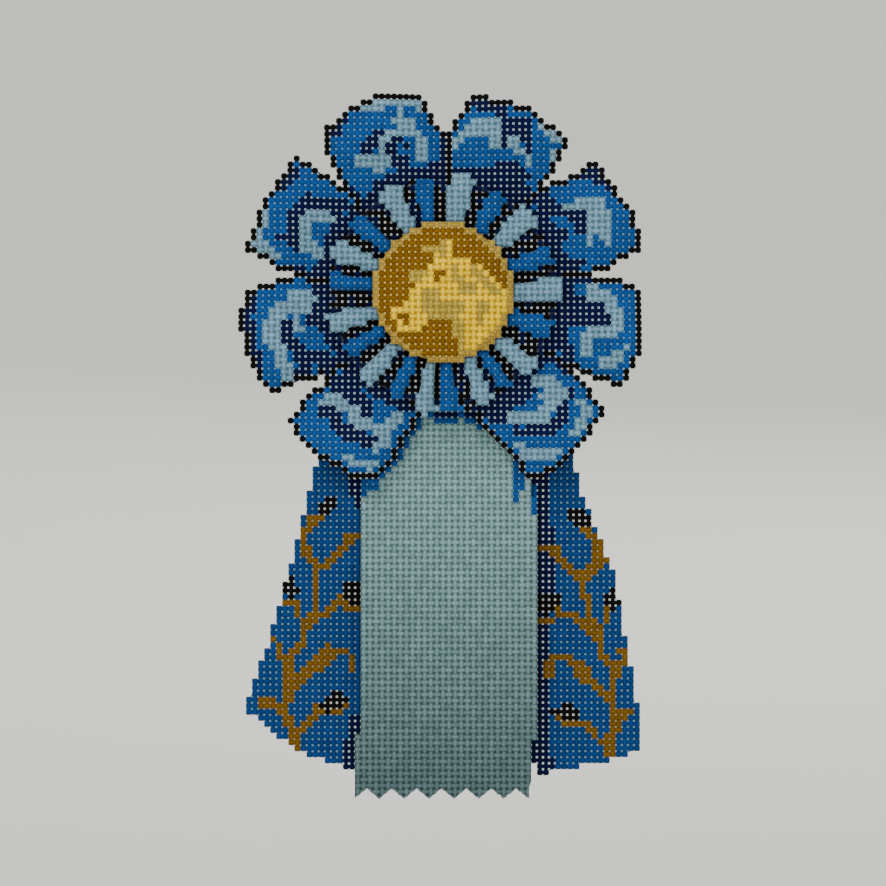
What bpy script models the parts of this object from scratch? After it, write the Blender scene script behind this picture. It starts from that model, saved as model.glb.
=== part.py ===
"""Award rosette with eight ribbon petals, an inner ring of pleats, a covered button, three tails and a bar pin.

It hangs as it is worn: X to the right, Z up and the front facing -Y. The origin is the centre of the backing
card's back face. Depths (d) are measured forwards from that face, so a point at depth d has y = -d.
"""

import math

import bmesh
import bpy
from mathutils import Vector

MM = 0.001
FABRIC = 0.7 * MM  # thickness of the woven ribbon
GAP = 0.3 * MM  # kept between pieces that lie on each other

# Depths of the layers, from the back of the card to the front of the button
CARD_THICK = 1.2 * MM
RIGHT_TAIL_DEPTH = CARD_THICK + GAP
LEFT_TAIL_DEPTH = RIGHT_TAIL_DEPTH + FABRIC + GAP
CENTRE_TAIL_DEPTH = LEFT_TAIL_DEPTH + FABRIC + GAP
STAPLE_WIRE = 0.6 * MM
CLINCH_DEPTH = CENTRE_TAIL_DEPTH + FABRIC + GAP
BUCKRAM_DEPTH = CLINCH_DEPTH + STAPLE_WIRE + GAP
BUCKRAM_THICK = 0.8 * MM
PETAL_DEPTH = BUCKRAM_DEPTH + BUCKRAM_THICK + GAP
BUTTON_DEPTH = 13.2 * MM
BUTTON_APEX = 20.0 * MM

CARD_R = 34 * MM
BUCKRAM_R = 31 * MM
BUTTON_R = 22.4 * MM  # a 1 3/4 inch covered button
POST_R = 2.6 * MM

# Petals, clockwise from one o'clock. Each has its counter-clockwise side, its rim and its clockwise side; a side runs
# outwards from the notch beside the next petal to the corner, in mm in the (x, z) plane.
PETAL_OUTLINES = {
    "petal_1": (
        [(1.0, 51.0), (5.0, 57.5), (9.9, 64.4)],
        [(18.3, 61.7), (25.3, 60.2), (34.8, 53.8)],
        [(32.9, 34.9), (37.5, 42.5), (39.9, 49.0)],
    ),
    "petal_2": (
        [(32.9, 34.9), (41.3, 38.2), (48.4, 41.5)],
        [(52.5, 37.3), (55.9, 31.7), (60.6, 26.4)],
        [(52.0, 6.5), (58.0, 11.0), (64.0, 17.5)],
    ),
    "petal_3": (
        [(52.0, 6.5), (59.2, 3.6), (63.9, -0.3)],
        [(64.5, -10.0), (63.7, -19.1), (60.8, -25.0)],
        [(44.5, -27.0), (50.5, -28.5), (57.3, -30.4)],
    ),
    "petal_4": (
        [(44.5, -27.0), (48.0, -33.0), (51.3, -38.6)],
        [(47.5, -44.5), (42.5, -50.0), (37.0, -56.3)],
        [(10.7, -40.2), (19.0, -50.0), (28.0, -60.6)],
    ),
    "petal_5": (
        [(-7.5, -39.3), (-13.5, -50.5), (-19.5, -59.3)],
        [(-24.0, -61.0), (-32.0, -57.6), (-41.5, -50.6)],
        [(-38.3, -28.0), (-43.5, -34.8), (-48.4, -41.5)],
    ),
    "petal_6": (
        [(-38.5, -27.8), (-46.0, -29.3), (-54.0, -32.3)],
        [(-58.8, -26.0), (-62.6, -17.5), (-64.9, -8.7)],
        [(-47.7, 5.1), (-55.0, 4.0), (-62.0, 1.5)],
    ),
    "petal_7": (
        [(-47.9, 5.8), (-54.5, 9.6), (-63.4, 15.0)],
        [(-60.3, 22.0), (-56.8, 30.0), (-52.6, 36.0)],
        [(-33.0, 35.2), (-40.0, 40.2), (-47.4, 44.2)],
    ),
    "petal_8": (
        [(-33.0, 35.2), (-36.6, 42.9), (-38.1, 50.9)],
        [(-34.0, 56.1), (-27.2, 60.2), (-17.9, 64.4)],
        [(1.0, 51.0), (-1.9, 55.1), (-6.7, 64.1)],
    ),
}
PETAL_ROOT_R = 14 * MM
PETAL_INSET = 0.35 * MM  # each side stands back this far from its neighbour
PETAL_COLUMNS = 9
# How the petal swells on its way out, as (share of the way, depth of the crown above the petal's back)
PETAL_CROWN = [(0, 1.7), (0.4, 3.2), (0.5, 4.4), (0.62, 7.4), (0.75, 9.0), (0.88, 8.9), (1, 7.8)]
PETAL_EDGE = [(0, 1.7), (0.5, 2.2), (1, 3.2)]

# Pleats of the inner ring: angles anticlockwise from +X in degrees, pale and mid blue in turn
PLEAT_ANGLES = [
    -99.4, -86.5, -69.4, -56.4, -41.3, -19.6, 1.2, 19.6, 41.7, 60.2,
    80.3, 100.6, 117.9, 140.6, 158.4, 174.7, 195.6, 211.7, 228.0, 245.0,
]  # fmt: skip
PLEAT_ROOT_R = 14 * MM
PALE_PLEAT_R = 38.4 * MM
BLUE_PLEAT_R = 37.0 * MM
PALE_SHARE = 0.64  # of the room between neighbours
BLUE_SHARE = 0.56
PLEAT_FABRIC = 0.5 * MM
PLEAT_CROWN = [(0, 1.6), (0.35, 2.3), (1, 3.3)]
PLEAT_EDGE = [(0, 1.4), (1, 1.9)]

# The dark ring under the pleats is a shallow cone
UNDERLAY_IN_R = 11 * MM
UNDERLAY_OUT_R = 38 * MM
UNDERLAY_IN_DEPTH = 8.5 * MM
UNDERLAY_OUT_DEPTH = 11.2 * MM
UNDERLAY_THICK = 0.6 * MM

# Tails. All three bend at one height, just below the lowest petals.
BEND_Z = -63 * MM
BEND_GAP = 0.5 * MM
TAIL_TOP_Z = -12 * MM
CENTRE_LEFT = [(0, -25.8), (0.4, -26.0), (0.8, -27.2), (1, -28.5)]  # (share of the way down, x in mm)
CENTRE_RIGHT = [(0, 29.0), (0.16, 31.0), (0.6, 31.0), (0.85, 29.3), (1, 27.5)]
CENTRE_VALLEY_Z = -159.2 * MM
CENTRE_TIP_Z = -162.5 * MM
TEETH = 7
TAIL_WIDTH = 40 * MM
LEFT_LEAN = math.radians(16.9)
RIGHT_LEAN = math.radians(13.1)
LEFT_AXIS_X = -7.5 * MM  # where each leaning tail's centre line crosses AXIS_Z
RIGHT_AXIS_X = 12.4 * MM
AXIS_Z = -15 * MM
LEFT_HEM = [(-64.4 * MM, -133.4 * MM), (-27.4 * MM, -153.8 * MM)]  # outer and inner corners of the cut end
RIGHT_HEM = [(63.8 * MM, -147.6 * MM), (29.6 * MM, -155.3 * MM)]
LEFT_HEM_BOW = 3.6 * MM  # how far the middle of the cut hangs below the line between its corners
RIGHT_HEM_BOW = 0.4 * MM
# How far each leaning tail drifts sideways below the bend: (share of the way down, x in mm)
LEFT_SWAY = [(0, 0), (0.3, 1.2), (0.7, 1.8), (0.88, 1.0), (1, 0)]
RIGHT_SWAY = [(0, 0), (0.14, 2.2), (0.3, 4.4), (0.42, 4.5), (0.6, 3.3), (0.85, 2.4), (1, 0.2)]
CENTRE_BOW = 2.4 * MM  # how far each tail curves forwards on its way down
SIDE_BOW = -1.4 * MM
TAIL_ROWS = 10

# Staples and rivets
STAPLE_XS = (-9 * MM, 9 * MM)
STAPLE_Z = -22 * MM
STAPLE_CROWN = 9 * MM
STAPLE_SLOT = 1.4 * MM
RIVET_XS = (-10.8 * MM, 10.8 * MM)
RIVET_R = 1.0 * MM
RIVET_HOLE_R = 1.3 * MM
RIVET_HEAD_R = 1.8 * MM
RIVET_HEAD = 0.4 * MM

# Bar pin, behind the card
PIN_Z = 15 * MM
PLATE_BACK = GAP  # y of the plate's face next to the card
PLATE_THICK = 0.8 * MM
PLATE_HALF_LENGTH = 18 * MM
PLATE_HALF_WIDTH = 3.2 * MM
STEM_Y = 5.9 * MM
STEM_R = 0.45 * MM
STEM_TIP_X = 17.6 * MM
STEM_TAPER_X = 9 * MM
HINGE_X = -15 * MM
HINGE_HOLE_R = 0.5 * MM
HINGE_RIVET_R = 0.42 * MM
EYE_R = 1.2 * MM
EYE_HALF = 0.8 * MM
EAR_R = 1.5 * MM
EAR_INSIDE = 1.0 * MM
EAR_THICK = 0.7 * MM
HOUSING_X = (13.0 * MM, 15.4 * MM)
HOUSING_OUT_R = 2.3 * MM
HOUSING_IN_R = 1.6 * MM
BARREL_R = 1.5 * MM
SLOT_R = 0.6 * MM
BARREL_X = (12.6 * MM, 16.4 * MM)
FLANGE_X = (15.7 * MM, 16.4 * MM)
FLANGE_R = 2.1 * MM
TAB_REACH = 3.4 * MM

MATERIALS = {
    "mid_blue_ribbon": ((0.02, 0.11, 0.30), 0.75, 0.0),
    "pale_blue_ribbon": ((0.22, 0.37, 0.42), 0.75, 0.0),
    "navy_ribbon": ((0.004, 0.008, 0.04), 0.75, 0.0),
    "gold_canvas": ((0.35, 0.20, 0.02), 0.7, 0.0),
    "card": ((0.72, 0.68, 0.60), 0.8, 0.0),
    "buckram": ((0.62, 0.58, 0.50), 0.9, 0.0),
    "felt": ((0.01, 0.02, 0.07), 0.95, 0.0),
    "nickel": ((0.62, 0.60, 0.56), 0.3, 1.0),
    "brass": ((0.60, 0.42, 0.16), 0.35, 1.0),
}


def clear_scene():
    for obj in list(bpy.data.objects):
        bpy.data.objects.remove(obj)


def material(name):
    """The named Principled material, made once."""
    found = bpy.data.materials.get(name)
    if found:
        return found
    colour, roughness, metallic = MATERIALS[name]
    made = bpy.data.materials.new(name)
    made.use_nodes = True
    shader = made.node_tree.nodes["Principled BSDF"]
    shader.inputs["Base Color"].default_value = (*colour, 1)
    shader.inputs["Roughness"].default_value = roughness
    shader.inputs["Metallic"].default_value = metallic
    return made


def add_object(name, bm, material_name, origin=(0, 0, 0)):
    """A mesh object whose origin is at `origin`, with bm given in the row's own coordinates."""
    origin = Vector(origin)
    bmesh.ops.recalc_face_normals(bm, faces=bm.faces)
    bmesh.ops.translate(bm, vec=-origin, verts=bm.verts)
    mesh = bpy.data.meshes.new(name)
    bm.to_mesh(mesh)
    bm.free()
    mesh.shade_smooth()
    mesh.set_sharp_from_angle(angle=math.radians(40))
    mesh.materials.append(material(material_name))
    obj = bpy.data.objects.new(name, mesh)
    obj.location = origin
    bpy.context.scene.collection.objects.link(obj)
    return obj


def as_helper(obj):
    obj.hide_render = True
    obj.display_type = "WIRE"
    return obj


def boolean(obj, other, operation):
    modifier = obj.modifiers.new(f"{operation.lower()}_{other.name}", "BOOLEAN")
    modifier.operation = operation
    modifier.object = as_helper(other)
    modifier.solver = "EXACT"


def between(table, share):
    """Smooth value of a table of (share, value) rows."""
    rows = list(zip(table, table[1:]))
    for (s0, v0), (s1, v1) in rows:
        if share <= s1:
            t = (share - s0) / (s1 - s0)
            return v0 + (v1 - v0) * t
    return table[-1][1]


def front(x, z, depth):
    """The point at that place in the (x, z) plane and that depth in front of the card's back."""
    return Vector((x, -depth, z))


# ---- sheets and turned parts -------------------------------------------------------------------


def sheet_loft(stations):
    """A closed solid from stations of (outer path, inner path), each a list of as many points."""
    bm = bmesh.new()
    rows = [([bm.verts.new(p) for p in outer], [bm.verts.new(p) for p in inner]) for outer, inner in stations]
    count = len(rows[0][0])
    for (outer, inner), (next_outer, next_inner) in zip(rows, rows[1:]):
        for i in range(count - 1):
            bm.faces.new((outer[i], outer[i + 1], next_outer[i + 1], next_outer[i]))
            bm.faces.new((inner[i + 1], inner[i], next_inner[i], next_inner[i + 1]))
        for i in (0, count - 1):
            bm.faces.new((outer[i], next_outer[i], next_inner[i], inner[i]))
    for outer, inner in (rows[0], rows[-1]):
        for i in range(count - 1):
            bm.faces.new((outer[i], outer[i + 1], inner[i + 1], inner[i]))
    return bm


def turned(profile, steps, axis="Y", centre=(0, 0, 0)):
    """A solid turned from a closed profile of (radius, place along the axis). Y places are depths."""
    bm = bmesh.new()
    centre = Vector(centre)
    across = {"X": Vector((0, 0, 1)), "Y": Vector((1, 0, 0)), "Z": Vector((1, 0, 0))}[axis]
    along = {"X": Vector((1, 0, 0)), "Y": Vector((0, -1, 0)), "Z": Vector((0, 0, 1))}[axis]
    loop = [bm.verts.new(centre + across * r + along * a) for r, a in profile]
    edges = [bm.edges.new((a, b)) for a, b in zip(loop, loop[1:] + loop[:1])]
    bmesh.ops.spin(bm, geom=loop + edges, cent=centre, axis=along, angle=2 * math.pi, steps=steps)
    bmesh.ops.remove_doubles(bm, verts=bm.verts, dist=1e-7)
    flat = [f for f in bm.faces if f.calc_area() < 1e-14]
    bmesh.ops.delete(bm, geom=flat, context="FACES_ONLY")
    loose = [e for e in bm.edges if not e.link_faces]
    bmesh.ops.delete(bm, geom=loose, context="EDGES")
    return bm


def cylinder(radius, low, high, steps, axis, centre):
    return turned([(0, low), (radius, low), (radius, high), (0, high)], steps, axis, centre)


def box(low, high):
    """A block between two corners."""
    bm = bmesh.new()
    bmesh.ops.create_cube(bm, size=1)
    low, high = Vector(low), Vector(high)
    for vert in bm.verts:
        vert.co = Vector(l + (h - l) * (c + 0.5) for l, h, c in zip(low, high, vert.co))
    return bm


def extruded(outline, direction):
    """A prism from a flat outline of points, pushed along a vector."""
    bm = bmesh.new()
    face = bm.faces.new([bm.verts.new(p) for p in outline])
    made = bmesh.ops.extrude_face_region(bm, geom=[face])
    moved = [g for g in made["geom"] if isinstance(g, bmesh.types.BMVert)]
    bmesh.ops.translate(bm, vec=direction, verts=moved)
    return bm


def arc(cx, cy, radius, start_deg, end_deg, steps):
    """Points on an arc, both ends included."""
    angles = [math.radians(start_deg + (end_deg - start_deg) * i / steps) for i in range(steps + 1)]
    return [(cx + radius * math.cos(a), cy + radius * math.sin(a)) for a in angles]


# ---- folded loops of ribbon: petals and pleats --------------------------------------------------


def loop_section(half_width, back, edge, crown, flap, inset, columns):
    """One cross-section of a box pleat as (across, depth): a flap behind, the fold, the arched front, and back round.

    edge and crown are depths above back; inset is 0 for the outer skin and the fabric's thickness for the inner one.
    """
    corner = min(0.55 * edge, 0.3 * half_width)
    low, high = back + inset, back + edge - inset
    side = half_width - inset
    turn_in = half_width - corner
    left = [(-flap, low), (-turn_in, low), (-side, low + 0.35 * (high - low)), (-side, low + 0.65 * (high - low))]
    arch = []
    for i in range(columns):
        u = 2 * i / (columns - 1) - 1
        arch.append((u * turn_in, high + (crown - edge) * (1 - abs(u) ** 2.4)))
    right = [(-s, d) for s, d in reversed(left)]
    return left + arch + right


def smooth_rim(corner_a, rim, corner_b, count):
    """Points along the rim, on a curve through its corners and its own points."""
    knots = [Vector(p) for p in [corner_a, *rim, corner_b]]
    points = []
    for i in range(count):
        place = (len(knots) - 1) * i / (count - 1)
        k = min(int(place), len(knots) - 2)
        t = place - k
        before = knots[max(k - 1, 0)]
        after = knots[min(k + 2, len(knots) - 1)]
        a, b = knots[k], knots[k + 1]
        tangent_a, tangent_b = (b - before) / 2, (after - a) / 2
        points.append(
            a * (2 * t**3 - 3 * t**2 + 1)
            + tangent_a * (t**3 - 2 * t**2 + t)
            + b * (3 * t**2 - 2 * t**3)
            + tangent_b * (t**3 - t**2)
        )
    return points


def side_points(side):
    """Ten stations from the root at the middle of the rosette out to the corner."""
    notch, knee, corner = (Vector(p) * MM for p in side)
    root = notch.normalized() * PETAL_ROOT_R
    knots = [root, notch, knee, corner]
    stations = []
    for a, b, parts in ((0, 1, 5), (1, 2, 2), (2, 3, 2)):
        stations += [knots[a].lerp(knots[b], i / parts) for i in range(parts)]
    return stations + [corner]


def petal(name, side_a, rim, side_b):
    left, right = side_points(side_a), side_points(side_b)
    rim_points = [p * MM for p in smooth_rim(side_a[-1], rim, side_b[-1], PETAL_COLUMNS)]
    stations = []
    for k, (a, b) in enumerate(zip(left, right)):
        share = k / 10 if k <= 5 else 0.5 + (k - 5) / 8
        across = (b - a).normalized()
        middle = (a + b) / 2
        half = (b - a).length / 2 - PETAL_INSET
        bulge = max(0.0, 2 * share - 1) ** 1.5
        paths = []
        for inset in (0, FABRIC):
            section = loop_section(
                half,
                PETAL_DEPTH + 0.6 * MM * share,
                between(PETAL_EDGE, share) * MM,
                between(PETAL_CROWN, share) * MM,
                0.35 * half,
                inset,
                PETAL_COLUMNS,
            )
            path = []
            for s, depth in section:
                u = min(max(s / half, -1), 1)
                column = (u + 1) / 2 * (PETAL_COLUMNS - 1)
                i = min(int(column), PETAL_COLUMNS - 2)
                on_rim = rim_points[i].lerp(rim_points[i + 1], column - i)
                straight = left[-1].lerp(right[-1], (u + 1) / 2)
                place = middle + across * s + (on_rim - straight) * bulge
                path.append(front(place.x, place.y, depth))
            paths.append(path)
        stations.append(paths)
    return add_object(name, sheet_loft(stations), "mid_blue_ribbon")


def underlay_depth(radius):
    """Depth of the dark ring's back face."""
    share = (radius - UNDERLAY_IN_R) / (UNDERLAY_OUT_R - UNDERLAY_IN_R)
    return UNDERLAY_IN_DEPTH + (UNDERLAY_OUT_DEPTH - UNDERLAY_IN_DEPTH) * share


def pleat(name, angle_deg, room_deg, share_of_room, out_r, material_name):
    """One folded strip, lying on the dark ring and pointing outwards."""
    angle = math.radians(angle_deg)
    outwards = Vector((math.cos(angle), math.sin(angle)))
    sideways = Vector((outwards.y, -outwards.x))
    stations = []
    for share in (0, 0.35, 0.7, 1):
        radius = PLEAT_ROOT_R + (out_r - PLEAT_ROOT_R) * share
        half = math.radians(room_deg) * share_of_room * radius / 2
        back = underlay_depth(radius) + UNDERLAY_THICK + GAP
        paths = []
        for inset in (0, PLEAT_FABRIC):
            crown = between(PLEAT_CROWN, share) * MM
            section = loop_section(half, back, between(PLEAT_EDGE, share) * MM, crown, 0.3 * half, inset, 5)
            places = [(outwards * radius + sideways * s, depth) for s, depth in section]
            paths.append([front(place.x, place.y, depth) for place, depth in places])
        stations.append(paths)
    return add_object(name, sheet_loft(stations), material_name)


def pleats():
    count = len(PLEAT_ANGLES)
    for i, angle in enumerate(PLEAT_ANGLES):
        after = PLEAT_ANGLES[(i + 1) % count] + (360 if i + 1 == count else 0)
        before = PLEAT_ANGLES[i - 1] - (360 if i == 0 else 0)
        room = min(after - angle, angle - before) * 0.5 + (after - before) / 2 * 0.5
        if i % 2 == 0:
            pleat(f"pale_pleat_{i // 2 + 1:02d}", angle, room, PALE_SHARE, PALE_PLEAT_R, "pale_blue_ribbon")
        else:
            pleat(f"blue_pleat_{i // 2 + 1:02d}", angle, room, BLUE_SHARE, BLUE_PLEAT_R, "mid_blue_ribbon")


def underlay_ring():
    back_in, back_out = UNDERLAY_IN_DEPTH, UNDERLAY_OUT_DEPTH
    profile = [
        (UNDERLAY_IN_R, back_in),
        (UNDERLAY_OUT_R, back_out),
        (UNDERLAY_OUT_R, back_out + UNDERLAY_THICK),
        (UNDERLAY_IN_R, back_in + UNDERLAY_THICK),
    ]
    return add_object("underlay_ring", turned(profile, 48), "navy_ribbon")


# ---- tails --------------------------------------------------------------------------------------


def tail_depth(depth, bow, z, foot_z):
    """Back of a tail at height z: flat down to the bend, then bowed on its way to the foot."""
    if z > BEND_Z:
        return depth
    share = (BEND_Z - z) / (BEND_Z - foot_z)
    return depth + bow * math.sin(math.pi * min(share, 1) * 0.72)


def strip(name, columns, depth, bow, foot_z, material_name, origin):
    """A ribbon from its columns, each a list of (x, z) points from top to bottom."""
    stations = []
    for column in columns:
        backs = [tail_depth(depth, bow, z, foot_z) for _, z in column]
        outer = [front(x, z, d + FABRIC) for (x, z), d in zip(column, backs)]
        inner = [front(x, z, d) for (x, z), d in zip(column, backs)]
        stations.append((outer, inner))
    return add_object(name, sheet_loft(stations), material_name, origin)


def column_points(top, foot, rows):
    return [top.lerp(foot, i / rows) for i in range(rows + 1)]


def bend_origin(depth):
    """Where a tail's bend line crosses its own middle plane."""
    return (0, -(depth + FABRIC / 2), BEND_Z)


def centre_tail():
    """Straight ribbon with a pinked end, in two lengths that meet at the bend."""
    half_teeth = 2 * TEETH
    length = TAIL_TOP_Z - CENTRE_VALLEY_Z
    bend = (TAIL_TOP_Z - BEND_Z) / length

    def edge_x(table, share):
        """The edges are straight down to the bend; the tables start there."""
        return between(table, max(0.0, (share - bend) / (1 - bend))) * MM

    def place(i, z):
        share = (TAIL_TOP_Z - z) / length
        left, right = edge_x(CENTRE_LEFT, share), edge_x(CENTRE_RIGHT, share)
        return Vector((left + (right - left) * i / half_teeth, z))

    uppers, lowers = [], []
    for i in range(half_teeth + 1):
        foot = CENTRE_TIP_Z if i % 2 == 0 else CENTRE_VALLEY_Z
        top_z, stub_z, tail_z = TAIL_TOP_Z, BEND_Z + BEND_GAP, BEND_Z - BEND_GAP
        uppers.append([place(i, top_z), place(i, stub_z)])
        heights = [tail_z + (foot - tail_z) * row / TAIL_ROWS for row in range(TAIL_ROWS + 1)]
        lowers.append([place(i, z) for z in heights])
    origin = bend_origin(CENTRE_TAIL_DEPTH)
    args = (CENTRE_TAIL_DEPTH, CENTRE_BOW, CENTRE_TIP_Z, "pale_blue_ribbon")
    strip("centre_tail_top", uppers, *args, (0, 0, 0))
    strip("centre_tail", lowers, *args, origin)


def leaning_tail(side, depth, axis_x, lean, hem, hem_bow, sway):
    """A ribbon that leans outwards, cut level at the top and along the hem at the foot."""
    way = -1 if side == "left" else 1
    down = Vector((way * math.sin(lean), -math.cos(lean)))
    along = Vector((math.cos(lean), way * math.sin(lean)))
    crossing = Vector((axis_x, AXIS_Z))
    outer_corner, inner_corner = (Vector(p) for p in hem)
    if side == "left":
        foot_left, foot_right = outer_corner, inner_corner
    else:
        foot_left, foot_right = inner_corner, outer_corner
    columns = 6

    def at_height(i, z):
        """Where the i-th thread line, running along the ribbon, crosses height z."""
        start = crossing + along * TAIL_WIDTH * (i / columns - 0.5)
        return start + down * ((z - start.y) / down.y)

    uppers, lowers = [], []
    for i in range(columns + 1):
        uppers.append([at_height(i, TAIL_TOP_Z), at_height(i, BEND_Z + BEND_GAP)])
        foot = foot_left.lerp(foot_right, i / columns) - Vector((0, hem_bow * math.sin(math.pi * i / columns)))
        points = column_points(at_height(i, BEND_Z - BEND_GAP), foot, TAIL_ROWS)
        lowers.append([p + Vector((between(sway, row / TAIL_ROWS) * MM, 0)) for row, p in enumerate(points)])
    args = (depth, SIDE_BOW, min(outer_corner.y, inner_corner.y), "mid_blue_ribbon")
    strip(f"{side}_tail_top", uppers, *args, (0, 0, 0))
    strip(f"{side}_tail", lowers, *args, bend_origin(depth))


# ---- card, pad, buckram, staples ----------------------------------------------------------------


def disc(name, radius, low, high, material_name, steps=64, hole=0.0, edge=0.15 * MM):
    """A flat disc with softened edges, and a hole through it where hole isn't 0."""
    rim = [(radius - edge, low), (radius, low + edge), (radius, high - edge), (radius - edge, high)]
    profile = [(hole, low), *rim, (hole, high)]
    return add_object(name, turned(profile, steps), material_name)


def backing_card():
    return disc("backing_card", CARD_R, 0, CARD_THICK, "card")


def buckram_disc():
    low, high = BUCKRAM_DEPTH, BUCKRAM_DEPTH + BUCKRAM_THICK
    return disc("buckram_disc", BUCKRAM_R, low, high, "buckram", 48, POST_R + GAP)


def felt_pad():
    """Packs the room above the tails, between the card and the buckram."""
    radius, foot = 27 * MM, -10 * MM
    start = math.degrees(math.asin(foot / radius))
    points = arc(0, 0, radius, start, 180 - start, 28)
    low = CARD_THICK + 2 * GAP + RIVET_HEAD
    high = BUCKRAM_DEPTH - GAP
    outline = [front(x, z, low) for x, z in points]
    return add_object("felt_pad", extruded(outline, (0, low - high, 0)), "felt")


def staple(name, x):
    """A wire staple with its crown behind the card and its points clinched in front of the tails."""
    half, wire = STAPLE_CROWN / 2, STAPLE_WIRE
    crown, clinch, turned_in = -GAP - wire, CLINCH_DEPTH + wire, 2.4 * MM
    outer = [(-half, crown), (half, crown), (half, clinch), (half - turned_in, clinch)]
    outer += [(half - turned_in, clinch - wire), (half - wire, clinch - wire), (half - wire, crown + wire)]
    outline = outer + [(-s, d) for s, d in reversed(outer[2:])]
    points = [front(x + s, STAPLE_Z - wire / 2, d) for s, d in outline]
    return add_object(name, extruded(points, (0, 0, wire)), "nickel")


def staple_slots():
    """One cutter through the card and the tails for each staple leg."""
    half, slot = STAPLE_CROWN / 2 - STAPLE_WIRE / 2, STAPLE_SLOT / 2
    cutters = []
    for x in STAPLE_XS:
        for leg in (-half, half):
            low = (x + leg - slot, -CLINCH_DEPTH - 2 * MM, STAPLE_Z - slot)
            high = (x + leg + slot, 2 * MM, STAPLE_Z + slot)
            cutters.append(as_helper(add_object(f"staple_slot_{len(cutters)}", box(low, high), "nickel")))
    return cutters


# ---- button -------------------------------------------------------------------------------------


def dome(radius, rim_depth, apex, steps=6):
    """(radius, depth) points from the axis out to the rim, on a shallow dome."""
    points = []
    for i in range(steps + 1):
        share = i / steps
        points.append((radius * share, rim_depth + (apex - rim_depth) * (1 - share**2.6)))
    return points


def domed_cap(name, radius, low, rim_depth, apex, thick, material_name, lip):
    """A thin turned cap open at the back, with a lip turned in by `lip`."""
    outside = dome(radius, rim_depth, apex)
    inside = dome(radius - thick, rim_depth, apex - thick)
    back = [(radius, low), (radius - thick - lip, low)]
    if lip:
        back += [(radius - thick - lip, low + thick), (radius - thick, low + thick)]
    profile = outside + back + list(reversed(inside))
    return add_object(name, turned(profile, 40), material_name)


def button():
    """Canvas cover over a tin shell, closed by a plate whose post is glued into the buckram."""
    cover, shell_gap = 0.7 * MM, 0.35 * MM
    rim = BUTTON_DEPTH + 1.6 * MM
    domed_cap("button_cover", BUTTON_R, BUTTON_DEPTH, rim, BUTTON_APEX, cover, "gold_canvas", 0)
    shell_r = BUTTON_R - cover - shell_gap
    shell_apex = BUTTON_APEX - cover - shell_gap
    domed_cap("button_shell", shell_r, BUTTON_DEPTH, rim - 0.3 * MM, shell_apex, 0.5 * MM, "brass", 0)
    plate_r = shell_r - 0.5 * MM - shell_gap
    disc("button_back_plate", plate_r, BUTTON_DEPTH, BUTTON_DEPTH + 0.6 * MM, "nickel", 40)
    post = cylinder(POST_R, BUCKRAM_DEPTH + 0.1 * MM, BUTTON_DEPTH - GAP, 24, "Y", (0, 0, 0))
    add_object("button_post", post, "nickel")


# ---- bar pin ------------------------------------------------------------------------------------


def pin_plate():
    """Stamped plate with two ears for the hinge at one end and the catch's housing at the other."""
    length, width = PLATE_HALF_LENGTH, PLATE_HALF_WIDTH
    ends = arc(length - width, PIN_Z, width, -90, 90, 10) + arc(width - length, PIN_Z, width, 90, 270, 10)
    outline = [Vector((x, PLATE_BACK, z)) for x, z in ends]
    plate = add_object("pin_plate", extruded(outline, (0, PLATE_THICK, 0)), "nickel")
    sunk = PLATE_BACK + PLATE_THICK / 2

    for way in (-1, 1):
        inside = PIN_Z + way * EAR_INSIDE
        rounded = arc(HINGE_X, STEM_Y, EAR_R, 0, 180, 10)
        ear = [(HINGE_X - EAR_R, sunk), (HINGE_X + EAR_R, sunk), *rounded]
        shape = extruded([Vector((x, y, inside)) for x, y in ear], (0, 0, way * EAR_THICK))
        boolean(plate, add_object(f"ear_{way}", shape, "nickel"), "UNION")

    x0, x1 = HOUSING_X
    axis_centre = (0, STEM_Y, PIN_Z)
    sleeve = cylinder(HOUSING_OUT_R, x0, x1, 24, "X", axis_centre)
    boolean(plate, add_object("catch_sleeve", sleeve, "nickel"), "UNION")
    post = box((x0 + 0.1 * MM, sunk, PIN_Z - 1.1 * MM), (x1 - 0.1 * MM, STEM_Y - 1.9 * MM, PIN_Z + 1.1 * MM))
    boolean(plate, add_object("catch_post", post, "nickel"), "UNION")

    bore = cylinder(HOUSING_IN_R, x0 - MM, x1 + MM, 24, "X", axis_centre)
    boolean(plate, add_object("catch_bore", bore, "nickel"), "DIFFERENCE")
    gape = SLOT_R + 0.06 * MM
    mouth = box((x0 - MM, STEM_Y, PIN_Z - gape), (x1 + MM, STEM_Y + 4 * MM, PIN_Z + gape))
    boolean(plate, add_object("catch_mouth", mouth, "nickel"), "DIFFERENCE")
    hinge = cylinder(HINGE_HOLE_R, -4 * MM, 4 * MM, 16, "Z", (HINGE_X, STEM_Y, PIN_Z))
    boolean(plate, add_object("hinge_hole", hinge, "nickel"), "DIFFERENCE")
    for i, x in enumerate(RIVET_XS):
        boolean(plate, add_object(f"plate_rivet_hole_{i}", rivet_hole(x), "nickel"), "DIFFERENCE")


def rivet_hole(x):
    return cylinder(RIVET_HOLE_R, -4 * MM, 3 * MM, 20, "Y", (x, 0, PIN_Z))


def plate_rivet(name, x):
    """Tubular rivet that clamps the pin's plate to the card."""
    front_face, back_face = CARD_THICK + GAP, -(PLATE_BACK + PLATE_THICK + GAP)
    soft = 0.12 * MM
    profile = [
        (0, back_face - RIVET_HEAD),
        (RIVET_HEAD_R - soft, back_face - RIVET_HEAD),
        (RIVET_HEAD_R, back_face - RIVET_HEAD + soft),
        (RIVET_HEAD_R, back_face),
        (RIVET_R, back_face),
        (RIVET_R, front_face),
        (RIVET_HEAD_R, front_face),
        (RIVET_HEAD_R, front_face + RIVET_HEAD),
        (0, front_face + RIVET_HEAD),
    ]
    return add_object(name, turned(profile, 20, "Y", (x, 0, PIN_Z)), "nickel")


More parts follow.
